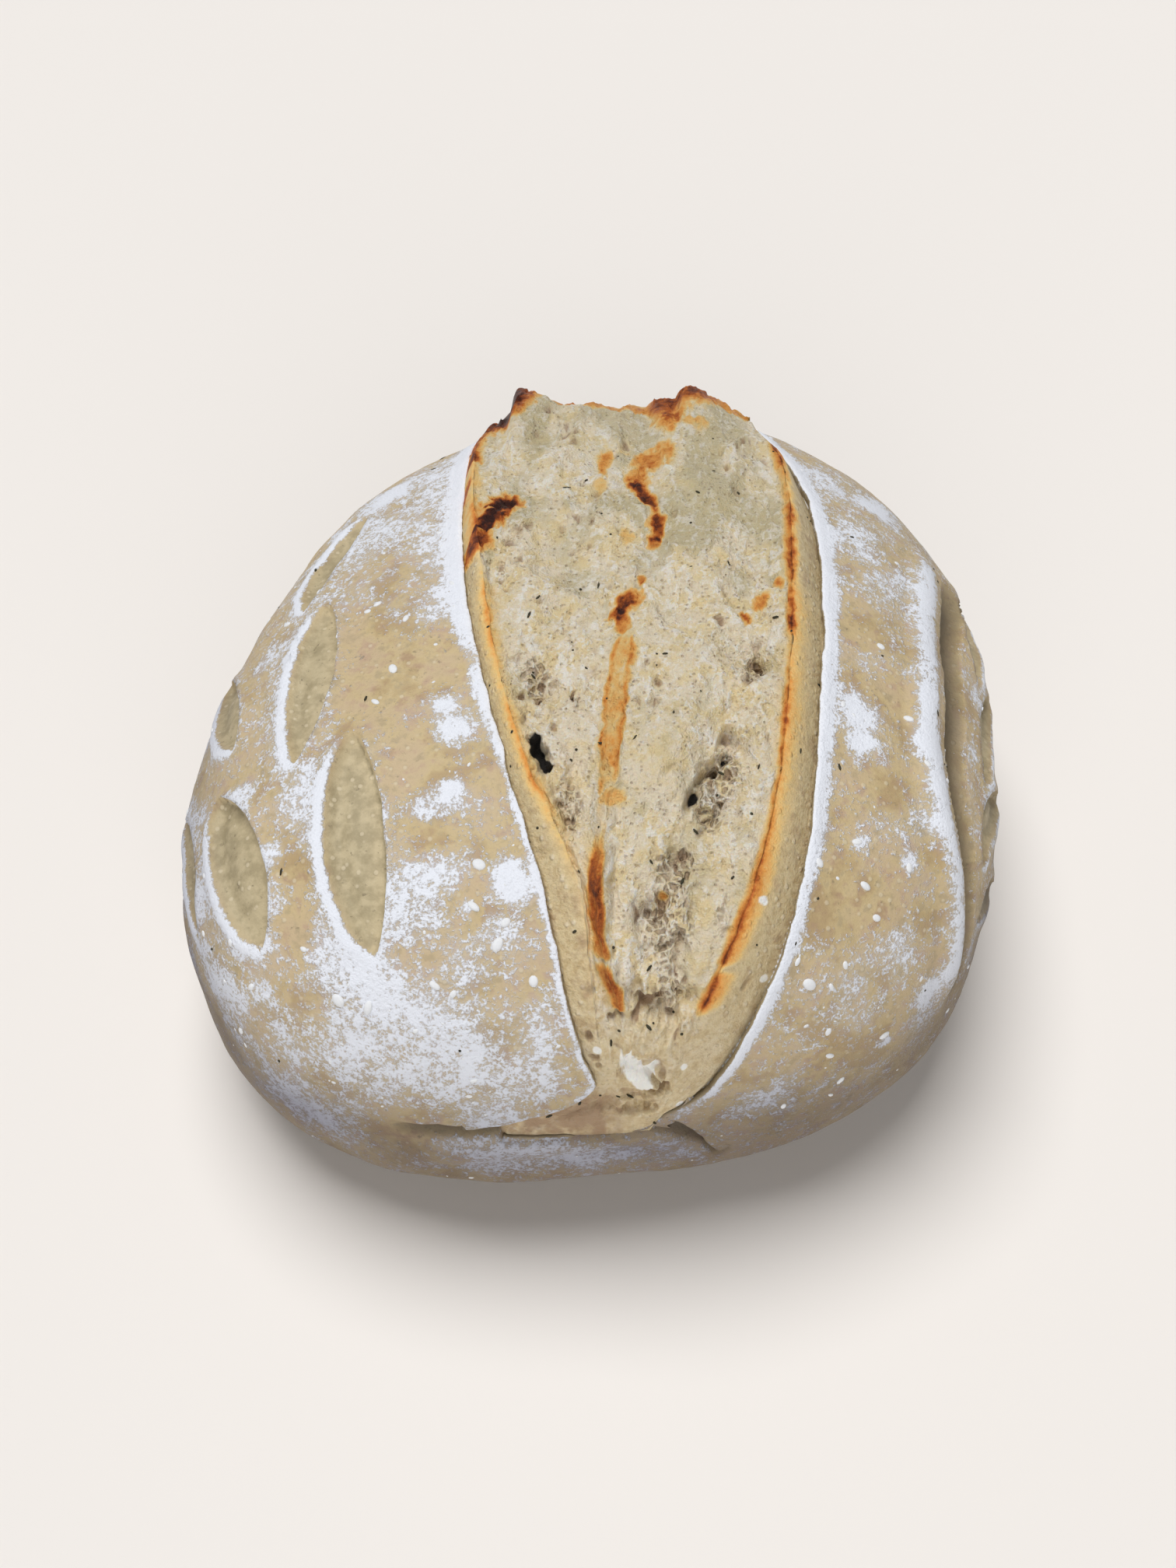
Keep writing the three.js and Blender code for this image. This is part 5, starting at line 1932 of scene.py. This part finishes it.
        return surface.finish(relief, 1.0, self.relief, {
            "Base Color": colour,
            "Roughness": surface.add(Node.RANGE, (glassy, 0.2, 1.0, 0.68, 0.42), **SMOOTH),
            "Specular IOR Level": 0.4,
            "Subsurface Weight": 0.3,
            "Subsurface Radius": (1.0, 0.75, 0.45),
            "Subsurface Scale": self.glow / METRE,
        })


@dataclass(frozen=True)
class PlainDust:
    """A finish of one tone with a little unevenness, for dried herb and for caked flour."""

    name: str
    light: str
    dark: str
    size: float  # mm between its uneven places
    roughness: float = 0.85
    relief: float = 0.2  # mm, at a relief of 1

    def build(self) -> Any:
        """Makes the material.

        Returns:
            The material.
        """
        surface = Surface(self.name)
        at = surface.add(Node.PLACE, output="Object")
        noise = surface.add(Node.NOISE, {"Vector": at, "Scale": per_mm(self.size), "Detail": 3.0})
        colour = surface.add(Node.MIX, {0: noise, 6: linear(self.dark), 7: linear(self.light)}, 2, **COLOURS)
        return surface.finish(noise, 0.4, self.relief, {"Base Color": colour, "Roughness": self.roughness})


# ---- Camera and studio ----


@dataclass(frozen=True)
class Studio:
    """A pale floor, soft light from above and behind on the left, and the camera."""

    form: LoafForm
    elevation: float = 52.0  # degrees the camera looks down
    distance: float = 500.0
    focal_pixels: float = 2334.0
    frame_pixels: float = 2016.0
    sensor: float = 36.0
    aim_height: float = 56.7
    floor_half: float = 3.0  # metres
    floor_colour: str = "#F0EBE6"
    # Each sun's name, its turn round the loaf, height and spread in degrees, and its power.
    suns: tuple[tuple[str, float, float, float, float], ...] = (
        ("key", -150, 74, 36, 2.5), ("front_fill", 0, 24, 60, 1.35),
    )

    def camera(self) -> None:
        """Adds the camera."""
        tilt = math.radians(90 - self.elevation)
        x, y = self.form.girth_middle
        back = self.distance * math.sin(tilt)
        place = (x / METRE, (y - back) / METRE, (self.aim_height + self.distance * math.cos(tilt)) / METRE)
        bpy.ops.object.camera_add(location=place, rotation=(tilt, 0, 0))
        camera = bpy.context.object
        camera.data.sensor_fit = "VERTICAL"
        camera.data.sensor_height = self.sensor
        camera.data.lens = self.focal_pixels / self.frame_pixels * self.sensor
        camera.data.clip_end = 20
        bpy.context.scene.camera = camera

    def floor(self) -> None:
        """Adds the floor."""
        clear_selection()
        bpy.ops.mesh.primitive_plane_add(size=2 * self.floor_half)
        floor = bpy.context.object
        floor.name = "studio_floor"
        paper = Surface("matt pale paper")
        looks = {"Base Color": linear(self.floor_colour), "Roughness": 1.0, "Specular IOR Level": 0.0}
        paper.feed(paper.shader, looks)
        floor.data.materials.append(paper.material)

    def lights(self) -> None:
        """Adds the broad key light behind on the left, a low fill in front, and a little sky."""
        for name, turn, height, spread, power in self.suns:
            bpy.ops.object.light_add(type="SUN", rotation=(math.radians(90 - height), 0, math.radians(turn)))
            light = bpy.context.object
            light.name = name
            light.data.energy = power
            light.data.angle = math.radians(spread)
        world = bpy.data.worlds.new("studio")
        world.use_nodes = True
        world.node_tree.nodes["Background"].inputs["Color"].default_value = (0.97, 0.985, 1, 1)
        world.node_tree.nodes["Background"].inputs["Strength"].default_value = 0.07
        bpy.context.scene.world = world
        bpy.context.scene.view_settings.view_transform = "Standard"

    def build(self) -> None:
        """Sets up the studio."""
        self.camera()
        self.floor()
        self.lights()


# ---- The loaf ----


def skin_lips(form: LoafForm) -> tuple[SkinLip, ...]:
    """Lays out the four lips of skin round the burst.

    Args:
        form: The loaf's form.

    Returns:
        The left, right, foot and back lips.
    """
    top = 152
    left_tail = (
        (22, -0.8), (17.3, 2.1), (14.2, -0.8), (11.5, -6.9), (10.2, -14), (8.8, -19.4), (7.9, -25),
        (6.8, -30),
    )
    right_tail = (
        (13.2, 27.4), (10.2, 22.2), (8.6, 18.4), (7.8, 18), (6.1, 22), (2.2, 26.4), (-2.2, 30), (-6, 33.4),
    )
    foot_line = ((6.4, -21), (5.9, -14), (5.6, -6), (5.0, 1), (5.8, 8), (6.4, 13), (8.2, 18.5), (6, 22))
    foot = np.array(foot_line, float)
    climb = np.array((148, 151, 154, 156.5, 158.5, 160, 161.2, 162.2))
    right_side, left_side = (
        np.stack([climb, smooth_through(skin, climb)], axis=-1) for skin in (RIGHT_SKIN, LEFT_SKIN)
    )
    arch = np.concatenate([right_side, [LEFT_SKIN[-1]], left_side[::-1]])
    return (
        SkinLip(form, LipSide.LEFT, skin_path(LEFT_SKIN, top, left_tail), inward=1),
        SkinLip(form, LipSide.RIGHT, skin_path(RIGHT_SKIN, top, right_tail), inward=-1),
        SkinLip(form, LipSide.FOOT, foot, inward=1, height=0.9),
        SkinLip(form, LipSide.BACK, arch, inward=1, height=0.9),
    )


def main() -> None:
    """Builds the loaf and its studio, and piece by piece."""
    logging.basicConfig(level=logging.INFO, format="%(name)s: %(message)s")
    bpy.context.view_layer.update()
    form = LoafForm()
    Studio(form).build()
    crust_finish = FlouredCrust().build()
    crumb_finish = TornCrumb().build()
    crust = Crust(form).build(crust_finish)
    for lip in skin_lips(form):
        lip.build(crust_finish)
    crumb = BurstCrumb(form).build(crumb_finish)
    scatter = Scatter(form)
    scatter.herbs(crumb, crust, PlainDust("dried rosemary", "#4A4630", "#211D14", 1.0).build())
    scatter.flour_drops(crust, PlainDust("caked rice flour", "#F0F1F2", "#E2E4E8", 0.6, 0.95).build())


if __name__ == "__main__":
    main()
